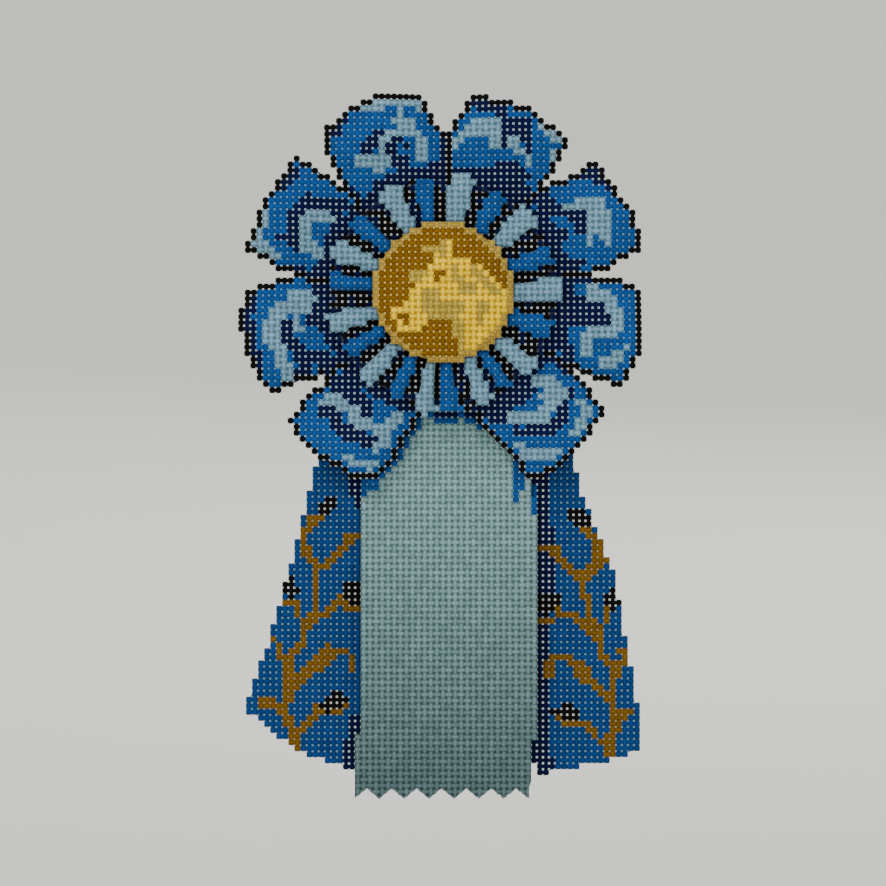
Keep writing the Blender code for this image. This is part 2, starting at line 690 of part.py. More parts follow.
def hinge_rivet():
    reach, head = EAR_INSIDE + EAR_THICK + 0.1 * MM, 0.35 * MM
    profile = [
        (0, -reach - head),
        (0.8 * MM, -reach - head),
        (0.8 * MM, -reach),
        (HINGE_RIVET_R, -reach),
        (HINGE_RIVET_R, reach),
        (0.8 * MM, reach),
        (0.8 * MM, reach + head),
        (0, reach + head),
    ]
    add_object("hinge_rivet", turned(profile, 16, "Z", (HINGE_X, STEM_Y, PIN_Z)), "nickel")


def pin_stem():
    """Needle with a flattened eye that turns on the hinge rivet."""
    centre = (HINGE_X, STEM_Y, PIN_Z)
    eye = add_object("pin_stem", cylinder(EYE_R, -EYE_HALF, EYE_HALF, 20, "Z", centre), "nickel", centre)
    start = HINGE_X + 0.7 * MM
    profile = [(0, start), (STEM_R, start), (STEM_R, STEM_TAPER_X), (0.12 * MM, STEM_TIP_X), (0, STEM_TIP_X)]
    needle = turned(profile, 12, "X", (0, STEM_Y, PIN_Z))
    boolean(eye, add_object("needle", needle, "nickel"), "UNION")
    hole = cylinder(HINGE_HOLE_R, -3 * MM, 3 * MM, 16, "Z", centre)
    boolean(eye, add_object("eye_hole", hole, "nickel"), "DIFFERENCE")


def catch_barrel():
    """Turning lock: its slot faces the housing's mouth when open, and its tab turns it shut."""
    x0, x1 = BARREL_X
    centre = (x0, STEM_Y, PIN_Z)
    flange = FLANGE_X[0]
    profile = [(0, x0), (BARREL_R, x0), (BARREL_R, flange), (FLANGE_R, flange), (FLANGE_R, x1), (0, x1)]
    barrel = add_object("catch_barrel", turned(profile, 24, "X", (0, STEM_Y, PIN_Z)), "nickel", centre)
    tab = box(
        (flange + 0.08 * MM, STEM_Y - 0.7 * MM, PIN_Z - TAB_REACH),
        (x1 - 0.08 * MM, STEM_Y + 0.7 * MM, PIN_Z - 1.3 * MM),
    )
    boolean(barrel, add_object("barrel_tab", tab, "nickel"), "UNION")
    rounded = arc(STEM_Y, PIN_Z, SLOT_R, 90, 270, 10)
    slot = [*rounded, (STEM_Y + 4 * MM, PIN_Z - SLOT_R), (STEM_Y + 4 * MM, PIN_Z + SLOT_R)]
    cutter = extruded([Vector((x0 - MM, y, z)) for y, z in slot], (x1 - x0 + 2 * MM, 0, 0))
    boolean(barrel, add_object("barrel_slot", cutter, "nickel"), "DIFFERENCE")


def main():
    clear_scene()
    card = backing_card()
    buckram_disc()
    felt_pad()
    centre_tail()
    leaning_tail("left", LEFT_TAIL_DEPTH, LEFT_AXIS_X, LEFT_LEAN, LEFT_HEM, LEFT_HEM_BOW, LEFT_SWAY)
    leaning_tail("right", RIGHT_TAIL_DEPTH, RIGHT_AXIS_X, RIGHT_LEAN, RIGHT_HEM, RIGHT_HEM_BOW, RIGHT_SWAY)
    for name, outline in PETAL_OUTLINES.items():
        petal(name, *outline)
    underlay_ring()
    pleats()
    button()

    for name, x in zip(("staple_left", "staple_right"), STAPLE_XS):
        staple(name, x)
    for cutter in staple_slots():
        for name in ("backing_card", "centre_tail_top", "left_tail_top", "right_tail_top"):
            boolean(bpy.data.objects[name], cutter, "DIFFERENCE")
    for i, x in enumerate(RIVET_XS):
        boolean(card, add_object(f"card_rivet_hole_{i}", rivet_hole(x), "nickel"), "DIFFERENCE")

    pin_plate()
    plate_rivet("plate_rivet_left", RIVET_XS[0])
    plate_rivet("plate_rivet_right", RIVET_XS[1])
    hinge_rivet()
    pin_stem()
    catch_barrel()


main()
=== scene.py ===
"""Award rosette in painted needlepoint canvas: petals, pleats, button and tails, on a card with a bar pin."""

import math

import bmesh
import bpy
import numpy as np
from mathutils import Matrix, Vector
from mathutils.bvhtree import BVHTree


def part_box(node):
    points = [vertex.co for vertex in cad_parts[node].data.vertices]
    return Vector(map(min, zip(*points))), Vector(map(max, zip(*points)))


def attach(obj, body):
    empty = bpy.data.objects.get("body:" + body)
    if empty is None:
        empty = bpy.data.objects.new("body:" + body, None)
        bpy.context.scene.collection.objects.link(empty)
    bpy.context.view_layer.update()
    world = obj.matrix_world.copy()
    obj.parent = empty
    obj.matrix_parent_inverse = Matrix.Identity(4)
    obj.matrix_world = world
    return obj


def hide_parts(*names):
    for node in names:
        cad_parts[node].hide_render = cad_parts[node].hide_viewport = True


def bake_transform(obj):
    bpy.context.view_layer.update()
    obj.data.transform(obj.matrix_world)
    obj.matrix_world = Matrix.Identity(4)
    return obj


MM = 0.001
STITCH = 1.954 * MM  # canvas with 13 holes to the inch
FINE = 6  # mesh squares along each side of a stitch
HALF_THREAD = 0.31  # of a stitch
SWAY = 0.85  # how strongly each thread rises over its crossings and dips under the next ones
WEAVE = 0.19 * MM  # a thread rises 2.35 times this where it passes over another
SINK = 0.3 * MM  # how far back a tail's lining lies from its CAD face
LINING_SINK = 0.5 * MM  # the same for the pieces of the rosette
WEAVE_BACK = 0.27 * MM  # how far behind the CAD face the bottoms of the canvas's holes lie
EYE_Y = -0.1  # where the rays that find the front surfaces start
BEND_Z = -63 * MM  # where the tails' CAD is cut in two
HORSE_HEIGHT = 0.4 * MM  # how far the horse stands off the button
SLIVER = 2e-9  # square metres; thinner faces have no normal worth using

PETAL_FRONT = -8.6 * MM  # a ray that gets past this depth has missed the front of a petal
PLEAT_FRONT = -9.6 * MM  # the same for a pleat
FUZZ = 0.05 * MM  # unevenness of the felt
HEM = 0.55 * MM  # how far the canvas turns back at its edges
PAINT_SPREAD = (0.88, 1.1)  # how much the paint's strength varies from stitch to stitch
CANVAS_SOFTNESS = 3  # rounds of blurring that take the CAD's facets out of the canvas
HORSE_SOFTNESS = 24  # rounds that round the horse's edges off

# The tails' linings, cut across every STRIP_STEP so that they can bend
STRIP_TOP = -61 * MM
STRIP_STEP = 2.5 * MM
STRIP_CUTS = 40
EDGE_INSET = 0.9 * MM  # how far the linings' side edges lie inside the CAD's
CARD_FOOT_Z = -25 * MM  # above this the linings keep their width, out of sight
TAIL_CANVAS_TOP = -24 * MM
TAIL_HEM = 0.5 * MM
CAP_DEPTH = 0.6 * MM  # faces this near to BEND_Z are the cut ends of the CAD
PINKED_ROW = -80  # the row of stitches where the centre tail's teeth start
FADE_TOP = -62 * MM  # painted shade darkens the centre tail over this stretch
FADE_LENGTH = 95 * MM

# Radii on the face, in stitches from the middle of the button
BUTTON_FACE = 10.5  # outside this the button is rim
RING_BLACK = 17.6  # inside this the ring's painted shade is mostly black
PETAL_SHADE = 20.3  # inside this the petals are navy, painted shade where they go under the ring
CLOSED = 24.4  # inside this the petals' canvas meets over the slits

# Columns and rows of stitches that the rosette can fill, and those inside CLOSED
FACE_COLUMNS = range(-35, 36)
FACE_ROWS = range(-33, 36)
CLOSED_RANGE = range(-24, 25)

MIDDLE_Z = -0.0482  # of the whole ribbon, and the height of the camera
CAMERA_AWAY = 1.41
FRAME_WIDTH = 0.2838  # what the picture spans at FRAME_AWAY
FRAME_AWAY = 1.4
SENSOR = 36

# ---- camera, light and stage -----------------------------------------------------------------------


def linear(red, green, blue):
    """Linear colour from sRGB bytes."""
    shares = [(c, c / 255) for c in (red, green, blue)]
    return tuple(share / 12.92 if c <= 10 else ((share + 0.055) / 1.055) ** 2.4 for c, share in shares)


def point_at(obj, target):
    obj.rotation_euler = (Vector(target) - obj.location).to_track_quat("-Z", "Y").to_euler()


def add_camera():
    data = bpy.data.cameras.new("camera")
    camera = bpy.data.objects.new("camera", data)
    bpy.context.scene.collection.objects.link(camera)
    camera.location = (0, -CAMERA_AWAY, MIDDLE_Z)
    point_at(camera, (0, 0, MIDDLE_Z))
    data.sensor_width = SENSOR
    data.lens = SENSOR * FRAME_AWAY / FRAME_WIDTH
    data.clip_start = 0.01
    bpy.context.scene.camera = camera


def add_lights():
    """A key light from the left, a weak fill, one for the back, and a pale sky."""
    for name, place, size, power in (
        ("key", (-0.9, -1.5, 1.1), 1.2, 15),
        ("fill", (1.4, -1.1, 0.2), 1.4, 4),
        ("back", (0.3, 1.6, 0.9), 1.4, 10),
    ):
        data = bpy.data.lights.new(name, "AREA")
        data.size = size
        data.energy = power
        light = bpy.data.objects.new(name, data)
        light.location = place
        light.visible_camera = False
        bpy.context.scene.collection.objects.link(light)
        point_at(light, (0, 0, -0.05))
    world = bpy.data.worlds.new("soft_sky")
    bpy.context.scene.world = world
    world.use_nodes = True
    background = world.node_tree.nodes["Background"]
    background.inputs["Color"].default_value = (0.88, 0.88, 0.86, 1)
    background.inputs["Strength"].default_value = 1.0


def add_stage():
    """A pale floor that curves up far from the part on every side."""
    floor_z, flat, cove, sweep, steps = -0.22, 1.0, 3.4, math.radians(44), 16
    profile = [(0.0, floor_z), (flat / 2, floor_z), (flat, floor_z)]
    for i in range(1, steps + 1):
        angle = sweep * i / steps
        profile.append((flat + cove * math.sin(angle), floor_z + cove * (1 - math.cos(angle))))
    bm = bmesh.new()
    line = [bm.verts.new((r, 0, z)) for r, z in profile]
    edges = [bm.edges.new(pair) for pair in zip(line, line[1:])]
    bmesh.ops.spin(bm, geom=line + edges, cent=(0, 0, 0), axis=(0, 0, 1), angle=2 * math.pi, steps=72)
    bmesh.ops.remove_doubles(bm, verts=bm.verts, dist=1e-5)
    bmesh.ops.recalc_face_normals(bm, faces=bm.faces)
    bmesh.ops.reverse_faces(bm, faces=bm.faces)
    floor = mesh_object("floor", bm)
    paint = Shade("floor_paint")
    grain = paint.noise(3, detail=2)
    colour = paint.mix(grain, linear(240, 239, 233), linear(244, 243, 238))
    paint.set(roughness=0.95, colour=colour, specular=0.1)
    floor.data.materials.append(paint.material)


# ---- materials ---------------------------------------------------------------------------------------


class Shade:
    """One Principled material and the few calls that build its nodes."""

    SOCKETS = {
        "colour": "Base Color",
        "roughness": "Roughness",
        "metallic": "Metallic",
        "sheen": "Sheen Weight",
        "specular": "Specular IOR Level",
    }

    def __init__(self, name):
        self.material = bpy.data.materials.new(name)
        self.material.use_nodes = True
        self.tree = self.material.node_tree
        self.shader = self.tree.nodes["Principled BSDF"]
        self.object_place = self.node("ShaderNodeTexCoord").outputs["Object"]

    def node(self, kind, **settings):
        made = self.tree.nodes.new(kind)
        for key, value in settings.items():
            setattr(made, key, value)
        return made

    def put(self, socket, value):
        """Links a socket, or sets it to a number or a colour."""
        if isinstance(value, bpy.types.NodeSocket):
            self.tree.links.new(value, socket)
        elif isinstance(value, tuple):
            socket.default_value = (*value, 1)[: len(socket.default_value)]
        else:
            socket.default_value = value

    def set(self, **values):
        for key, value in values.items():
            self.put(self.shader.inputs[self.SOCKETS[key]], value)

    def math(self, operation, a, b=0.0, c=0.0):
        made = self.node("ShaderNodeMath", operation=operation)
        for socket, value in zip(made.inputs, (a, b, c)):
            self.put(socket, value)
        return made.outputs[0]

    def ramp(self, value, low, high, to_low=0.0, to_high=1.0):
        """Smoothly maps value from low..high to to_low..to_high."""
        made = self.node("ShaderNodeMapRange", interpolation_type="SMOOTHSTEP")
        for socket, number in zip(made.inputs, (value, low, high, to_low, to_high)):
            self.put(socket, number)
        return made.outputs[0]

    def mix(self, factor, a, b, blend="MIX"):
        made = self.node("ShaderNodeMix", data_type="RGBA", blend_type=blend)
        self.put(made.inputs[0], factor)
        self.put(made.inputs[6], a)
        self.put(made.inputs[7], b)
        return made.outputs[2]

    def noise(self, scale, detail=3.0, stretch=(1, 1, 1), roughness=0.5):
        mapping = self.node("ShaderNodeMapping")
        self.put(mapping.inputs["Vector"], self.object_place)
        mapping.inputs["Scale"].default_value = stretch
        made = self.node("ShaderNodeTexNoise")
        self.put(made.inputs["Vector"], mapping.outputs[0])
        for key, value in (("Scale", scale), ("Detail", detail), ("Roughness", roughness)):
            made.inputs[key].default_value = value
        return made.outputs["Fac"]

    def bump(self, height, strength, distance):
        made = self.node("ShaderNodeBump")
        self.put(made.inputs["Height"], height)
        made.inputs["Strength"].default_value = strength
        made.inputs["Distance"].default_value = distance
        self.put(self.shader.inputs["Normal"], made.outputs[0])


def canvas_material():
    """Painted mono canvas. Thread and Hole are colours on the faces, and the UV map counts stitches."""
    m = Shade("painted_canvas")
    place = m.node("ShaderNodeSeparateXYZ")
    m.put(place.inputs[0], m.node("ShaderNodeUVMap", uv_map="Canvas").outputs[0])
    across, along = place.outputs[0], place.outputs[1]
    column, row = m.math("ROUND", across), m.math("ROUND", along)
    threads = []
    corner = []
    for here, line, run, other, side in ((across, column, along, column, 1), (along, row, across, row, -1)):
        off = m.math("ABSOLUTE", m.math("SUBTRACT", here, line))
        corner.append(m.math("POWER", m.math("SUBTRACT", 0.5, off), 4.0))
        share = m.math("DIVIDE", off, HALF_THREAD)
        rest = m.math("SUBTRACT", 1.0, m.math("MULTIPLY", share, share))
        crown = m.math("SQRT", m.math("MAXIMUM", rest, 0.0))
        # Each thread passes over and under the other set in turn
        phase = m.math("MULTIPLY", m.math("ADD", run, other), math.pi)
        sway = m.math("MULTIPLY", m.math("COSINE", phase), side * SWAY)
        threads.append(m.math("SUBTRACT", m.math("MULTIPLY", crown, m.math("ADD", 1.5, sway)), 0.5))
    top = m.math("MAXIMUM", *threads)
    reach = m.math("POWER", m.math("ADD", *corner), 0.25)
    hole = m.ramp(reach, 0.15, 0.215, 1.0, 0.0)

    strand = m.noise(3400, 4, (1, 1, 1), 0.65)
    pool = m.noise(420, 2)
    # Painted shade on the threads' flanks and where they dip under the crossing threads, and a painted
    # highlight on the crowns that pass over
    shade = m.ramp(top, -0.1, 1.7, 0.56, 1.16)
    uneven = m.math("MULTIPLY", m.ramp(strand, 0.3, 0.7, 0.86, 1.1), m.ramp(pool, 0.35, 0.65, 0.92, 1.06))
    bright = m.math("MULTIPLY", shade, uneven)

    thread = m.node("ShaderNodeAttribute", attribute_name="Thread").outputs["Color"]
    open_mesh = m.node("ShaderNodeAttribute", attribute_name="Hole").outputs["Color"]
    grey = m.node("ShaderNodeCombineColor")
    for socket in grey.inputs:
        m.put(socket, bright)
    lit = m.mix(1.0, thread, grey.outputs[0], "MULTIPLY")
    m.set(colour=m.mix(hole, lit, open_mesh), roughness=0.85, specular=0.12)
    m.bump(m.math("ADD", m.math("MULTIPLY", strand, 0.25), top), 0.5, 0.00016)
    return m.material


def ribbon_material(name, colour):
    """Plain-weave lining ribbon with fine ribs."""
    m = Shade(name)
    ribs = m.node("ShaderNodeTexWave", bands_direction="Z")
    m.put(ribs.inputs["Vector"], m.object_place)
    for key, value in (("Scale", 460.0), ("Distortion", 0.6), ("Detail", 1.0)):
        ribs.inputs[key].default_value = value
    fibre = m.noise(2600, 4)
    cloud = m.noise(60, 2)
    tone = m.math("MULTIPLY", m.ramp(fibre, 0.3, 0.7, 0.8, 1.15), m.ramp(cloud, 0.3, 0.7, 0.88, 1.1))
    grey = m.node("ShaderNodeCombineColor")
    for socket in grey.inputs:
        m.put(socket, tone)
    m.set(colour=m.mix(1.0, colour, grey.outputs[0], "MULTIPLY"))
    m.set(roughness=m.ramp(fibre, 0.3, 0.7, 0.5, 0.72), sheen=0.1, specular=0.3)
    m.bump(m.math("ADD", ribs.outputs["Fac"], fibre), 0.3, 0.00008)
    return m.material


def card_material():
    """Off-white board with fibres and specks."""
    m = Shade("card_board")
    fibres = m.noise(900, 6, (1, 1, 5), 0.7)
    speck = m.noise(2600, 2)
    warm = m.mix(m.ramp(fibres, 0.35, 0.65), linear(206, 197, 176), linear(226, 219, 202))
    m.set(colour=m.mix(m.ramp(speck, 0.66, 0.74), warm, linear(150, 132, 104)), roughness=0.9, specular=0.2)
    m.bump(fibres, 0.25, 0.00012)
    return m.material


def felt_material():
    """Fuzzy wool felt."""
    m = Shade("navy_felt")
    fuzz = m.noise(1500, 8, (1, 1, 1), 0.75)
    colour = m.mix(m.ramp(fuzz, 0.3, 0.7), linear(8, 14, 44), linear(34, 48, 92))
    m.set(colour=colour, roughness=0.97, sheen=0.6)
    m.bump(fuzz, 0.8, 0.0004)
    return m.material


def buckram_material():
    """Starched open weave."""
    m = Shade("buckram")
    place = m.node("ShaderNodeSeparateXYZ")
    m.put(place.inputs[0], m.object_place)
    waves = [m.math("SINE", m.math("MULTIPLY", place.outputs[axis], 2 * math.pi / 0.0011)) for axis in (0, 2)]
    mesh = m.math("MAXIMUM", *waves)
    m.set(colour=m.mix(m.ramp(mesh, -0.2, 0.6), linear(120, 108, 84), linear(208, 200, 178)), roughness=0.85)
    m.bump(mesh, 0.6, 0.0002)
    return m.material


def metal_material(name, colour, tarnish, rough):
    """Scratched metal, duller in places."""
    m = Shade(name)
    scratch = m.noise(700, 5, (1, 1, 14), 0.7)
    dull = m.noise(160, 4)
    m.set(colour=m.mix(m.ramp(dull, 0.45, 0.75), colour, tarnish), metallic=1.0)
    worn = m.ramp(scratch, 0.35, 0.7, rough, rough + 0.18)
    m.set(roughness=m.math("ADD", worn, m.ramp(dull, 0.4, 0.8, 0.0, 0.15)))
    m.bump(scratch, 0.12, 0.00005)
    return m.material


# ---- mesh helpers ------------------------------------------------------------------------------------


def mesh_object(name, bm):
    mesh = bpy.data.meshes.new(name)
    bm.to_mesh(mesh)
    bm.free()
    mesh.shade_smooth()
    obj = bpy.data.objects.new(name, mesh)
    bpy.context.scene.collection.objects.link(obj)
    return obj


def cad_mesh(*nodes):
    """The nodes' CAD surface with its split corners welded and its triangles paired."""
    bm = bmesh.new()
    for node in nodes:
        bm.from_mesh(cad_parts[node].data)
    bmesh.ops.remove_doubles(bm, verts=bm.verts, dist=2e-6)
    bmesh.ops.join_triangles(
        bm, faces=bm.faces, angle_face_threshold=math.radians(30), angle_shape_threshold=math.radians(60)
    )
    return bm


def subdivided(name, bm, levels):
    """An object made of bm rounded by Catmull-Clark subdivision."""
    rough = mesh_object(f"{name}_rough", bm)
    modifier = rough.modifiers.new("round", "SUBSURF")
    modifier.levels = modifier.render_levels = levels
    modifier.boundary_smooth = "PRESERVE_CORNERS"
    graph = bpy.context.evaluated_depsgraph_get()
    mesh = bpy.data.meshes.new_from_object(rough.evaluated_get(graph))
    bpy.data.objects.remove(rough)
    mesh.name = name
    obj = bpy.data.objects.new(name, mesh)
    bpy.context.scene.collection.objects.link(obj)
    mesh.shade_smooth()
    return obj


def make_room(obj, scale):
    """Shrinks a lining about its middle, seen from the front, and moves what faces forwards back."""
    mesh = obj.data
    corners = [Vector(c) for c in obj.bound_box]
    middle = (corners[0] + corners[6]) / 2
    for vertex, normal in zip(mesh.vertices, [v.normal.copy() for v in mesh.vertices]):
        vertex.co -= normal * LINING_SINK * min(max((-normal.y - 0.15) / 0.4, 0), 1)
        vertex.co.x = middle.x + (vertex.co.x - middle.x) * scale
        vertex.co.z = middle.z + (vertex.co.z - middle.z) * scale


def tree_of(obj):
    return BVHTree.FromObject(obj, bpy.context.evaluated_depsgraph_get())


def blurred(values, times):
    """Averages each value of a grid with its four neighbours, without shrinking the grid."""
    for _ in range(times):
        padded = np.pad(values, 1, mode="edge")
        beside = values * 4 + padded[:-2, 1:-1] + padded[2:, 1:-1]
        values = (beside + padded[1:-1, :-2] + padded[1:-1, 2:]) / 8
    return values


def filled(values):
    """Spreads the known values of a grid into its NaN places, outwards from the nearest."""
    values = values.copy()
    while np.isnan(values).any():
        padded = np.pad(values, 1, constant_values=np.nan)
        around = np.stack([padded[:-2, 1:-1], padded[2:, 1:-1], padded[1:-1, :-2], padded[1:-1, 2:]])
        known = ~np.isnan(around)
        total = np.where(known, around, 0).sum(0)
        count = known.sum(0)
        spread = np.isnan(values) & (count > 0)
        if not spread.any():
            break
        values[spread] = total[spread] / count[spread]
    return values


# ---- canvas ------------------------------------------------------------------------------------------

# Each colour is (thread, what shows through the holes). Where the holes are darker than the thread, as in
# pale, centre, yellow and tan, that is painted shade in the holes
YARN = {
    "blue": (linear(8, 74, 144), linear(92, 140, 182)),
    "tail": (linear(6, 58, 118), linear(98, 138, 164)),
    # navy is painted shade on the petals and the ring
    "navy": (linear(2, 12, 60), linear(160, 180, 196)),
    # Navy for the painted shadow that the centre tail casts along the side tails' inner edges
    "seam": (linear(2, 10, 56), linear(204, 220, 228)),
    "black": (linear(3, 3, 6), linear(204, 204, 194)),
    # pale is the pale pleats' own colour; on the petals it is painted highlight
    "pale": (linear(118, 160, 184), linear(70, 110, 128)),
    "centre": (linear(130, 166, 170), linear(72, 104, 104)),
    "gold": (linear(124, 86, 4), linear(206, 172, 84)),
    "yellow": (linear(255, 210, 0), linear(178, 130, 0)),
    # tan is painted shade on the yellow horse
    "tan": (linear(186, 160, 62), linear(146, 120, 44)),
    "rim": (linear(180, 148, 58), linear(186, 162, 104)),
    "vine": (linear(112, 78, 8), linear(150, 132, 92)),
}


def brushed(cells, line, width):
    """Which cells a stroke along line covers, or, where width is 0, which lie inside it."""
    line = np.array(line, float)
    if width == 0:
        x, y = cells[:, 0], cells[:, 1]
        inside = np.zeros(len(cells), bool)
        for (ax, ay), (bx, by) in zip(line, np.roll(line, -1, 0)):
            crosses = (ay > y) != (by > y)
            inside ^= crosses & (x < (bx - ax) * (y - ay) / (by - ay + 1e-12) + ax)
        return inside
    nearest = np.full(len(cells), 1e9)
    for a, b in zip(line, line[1:]) if len(line) > 1 else [(line[0], line[0])]:
        along = b - a
        t = np.clip(((cells - a) @ along) / max(along @ along, 1e-9), 0, 1)
        nearest = np.minimum(nearest, np.linalg.norm(cells - a - t[:, None] * along, axis=1))
    return nearest <= width / 2


def weave_height(u, v):
    """Height of the canvas above the bottom of its holes, at a place counted in stitches."""
    column, row = np.round(u), np.round(v)
    threads = []
    for off, phase, side in ((u - column, v + column, 1), (v - row, u + row, -1)):
        crown = np.sqrt(np.clip(1 - (off / (HALF_THREAD + 0.08)) ** 2, 0, 1))
        threads.append(crown * (1.5 + side * SWAY * np.cos(np.pi * phase)))
    return np.maximum(*threads) * WEAVE


def rays_into(i, j):
    """Where nine rays start that go back into a stitch."""
    return [((i + a / 3) * STITCH, EYE_Y, (j + b / 3) * STITCH) for a in (-1, 0, 1) for b in (-1, 0, 1)]


def front_of(tree, start):
    """The depth at which a surface is first met from the front, or None."""
    hit = tree.ray_cast(start, (0, 1, 0))[0]
    return None if hit is None else hit.y


def covered_cells(tree, box, enough=5):
    """The stitches that a surface fills, seen from the front: enough of nine places in each must meet it."""
    low, high = box
    cells = []
    for i in range(math.floor(low.x / STITCH) - 1, math.ceil(high.x / STITCH) + 2):
        for j in range(math.floor(low.z / STITCH) - 1, math.ceil(high.z / STITCH) + 2):
            if sum(front_of(tree, start) is not None for start in rays_into(i, j)) >= enough:
                cells.append((i, j))
    return cells


def cell_numbers(cells, lows, size):
    """A grid of fine squares that holds the number of each square's cell, or -1."""
    numbers = np.full(size * FINE, -1)
    for k, cell in enumerate(cells):
        a, b = (np.array(cell) - lows) * FINE
        numbers[a : a + FINE, b : b + FINE] = k
    return numbers


def hemmed_grid(squares, numbers, place, hem):
    """Points, faces and each face's cell for the squares, with a hem that turns back all round.

    place gives the point and the stitch coordinates of a corner of the grid.
    """
    index, points, stitch_uv, faces, face_cell = {}, [], [], [], []

    def corner(a, b):
        if (a, b) not in index:
            index[a, b] = len(points)
            point, uv = place(a, b)
            points.append(point)
            stitch_uv.append(uv)
        return index[a, b]

    def behind(k):
        """The point at the back of the hem behind point k."""
        if ("hem", k) not in index:
            index["hem", k] = len(points)
            x, y, z = points[k]
            points.append((x, y + hem, z))
            stitch_uv.append(stitch_uv[k])
        return index["hem", k]

    for a, b in np.argwhere(squares):
        c = (corner(a, b), corner(a + 1, b), corner(a + 1, b + 1), corner(a, b + 1))
        faces.append(c)
        face_cell.append(numbers[a, b])
        for p, q, beside in (
            (c[0], c[1], squares[a, b - 1]),
            (c[1], c[2], squares[a + 1, b]),
            (c[2], c[3], squares[a, b + 1]),
            (c[3], c[0], squares[a - 1, b]),
        ):
            if not beside:
                faces.append((q, p, behind(p), behind(q)))
                face_cell.append(numbers[a, b])
    return points, stitch_uv, faces, face_cell


def canvas_object(name, colours, points, stitch_uv, faces, face_cell):
    """The canvas as an object, with its colours on its faces and its stitches counted in its UV map."""
    mesh = bpy.data.meshes.new(name)
    mesh.from_pydata(points, [], faces)
    threads = np.array([(*YARN[c][0], 1) for c in colours])
    holes = np.array([(*YARN[c][1], 1) for c in colours])
    threads[:, :3] *= np.random.default_rng(len(colours)).uniform(*PAINT_SPREAD, (len(colours), 1))
    for key, values in (("Thread", threads), ("Hole", holes)):
        attribute = mesh.attributes.new(key, "FLOAT_COLOR", "FACE")
        attribute.data.foreach_set("color", values[face_cell].astype(np.float32).ravel())
    layer = mesh.uv_layers.new(name="Canvas")
    corners = np.zeros(len(mesh.loops), int)
    mesh.loops.foreach_get("vertex_index", corners)
    layer.data.foreach_set("uv", np.array(stitch_uv, np.float32)[corners].ravel())
    mesh.shade_smooth()
    mesh.materials.append(MATERIALS["canvas"])
    obj = bpy.data.objects.new(name, mesh)
    bpy.context.scene.collection.objects.link(obj)
    return obj


def canvas(name, tree, cells, colours, hem=HEM, deepest=math.inf, raised=(), trim_row=-math.inf):
    """Woven canvas over the front of a surface, FINE by FINE squares of mesh per stitch.

    colours are names in YARN, one for each cell. What lies behind deepest isn't followed. The cells numbered
    in raised stand proud, and below trim_row the canvas is cut to the surface's own outline.
    """
    lows = np.array(cells).min(0) - 1
    size = np.array(cells).max(0) - lows + 2
    numbers = cell_numbers(cells, lows, size)
    squares = numbers >= 0
    u, v = [lows[axis] - 0.5 + np.arange(numbers.shape[axis] + 1) / FINE for axis in (0, 1)]
    for a, b in np.argwhere(squares & (v[None, :-1] < trim_row)):
        x, z = (lows - 0.5 + (np.array((a, b)) + 0.5) / FINE) * STITCH
        squares[a, b] = front_of(tree, (x, EYE_Y, z)) is not None
    used = np.zeros((len(u), len(v)), bool)
    for dx in (0, 1):
        for dz in (0, 1):
            used[dx : squares.shape[0] + dx, dz : squares.shape[1] + dz] |= squares

    depth = np.full(used.shape, np.nan)
    for a, b in np.argwhere(used):
        met = front_of(tree, (u[a] * STITCH, EYE_Y, v[b] * STITCH))
        if met is not None and met < deepest:
            depth[a, b] = met
    y = blurred(filled(depth), CANVAS_SOFTNESS) + WEAVE_BACK - weave_height(u[:, None], v[None, :])
    if len(raised):
        lump = np.isin(numbers, raised).astype(float)
        lump = np.pad(lump, ((0, 1), (0, 1)), mode="edge")
        y -= blurred(lump, HORSE_SOFTNESS) * HORSE_HEIGHT

    def place(a, b):
        return (u[a] * STITCH, y[a, b], v[b] * STITCH), (u[a], v[b])

    return canvas_object(name, colours, *hemmed_grid(squares, numbers, place, hem))


def painted(cells, base, strokes):
    """The colour of each cell: the base, and then the strokes in their order."""
    colours = np.full(len(cells), base, dtype="U8")
    places = np.array(cells, float)
    for colour, width, line in strokes:
        colours[brushed(places, line, width)] = colour
    return colours
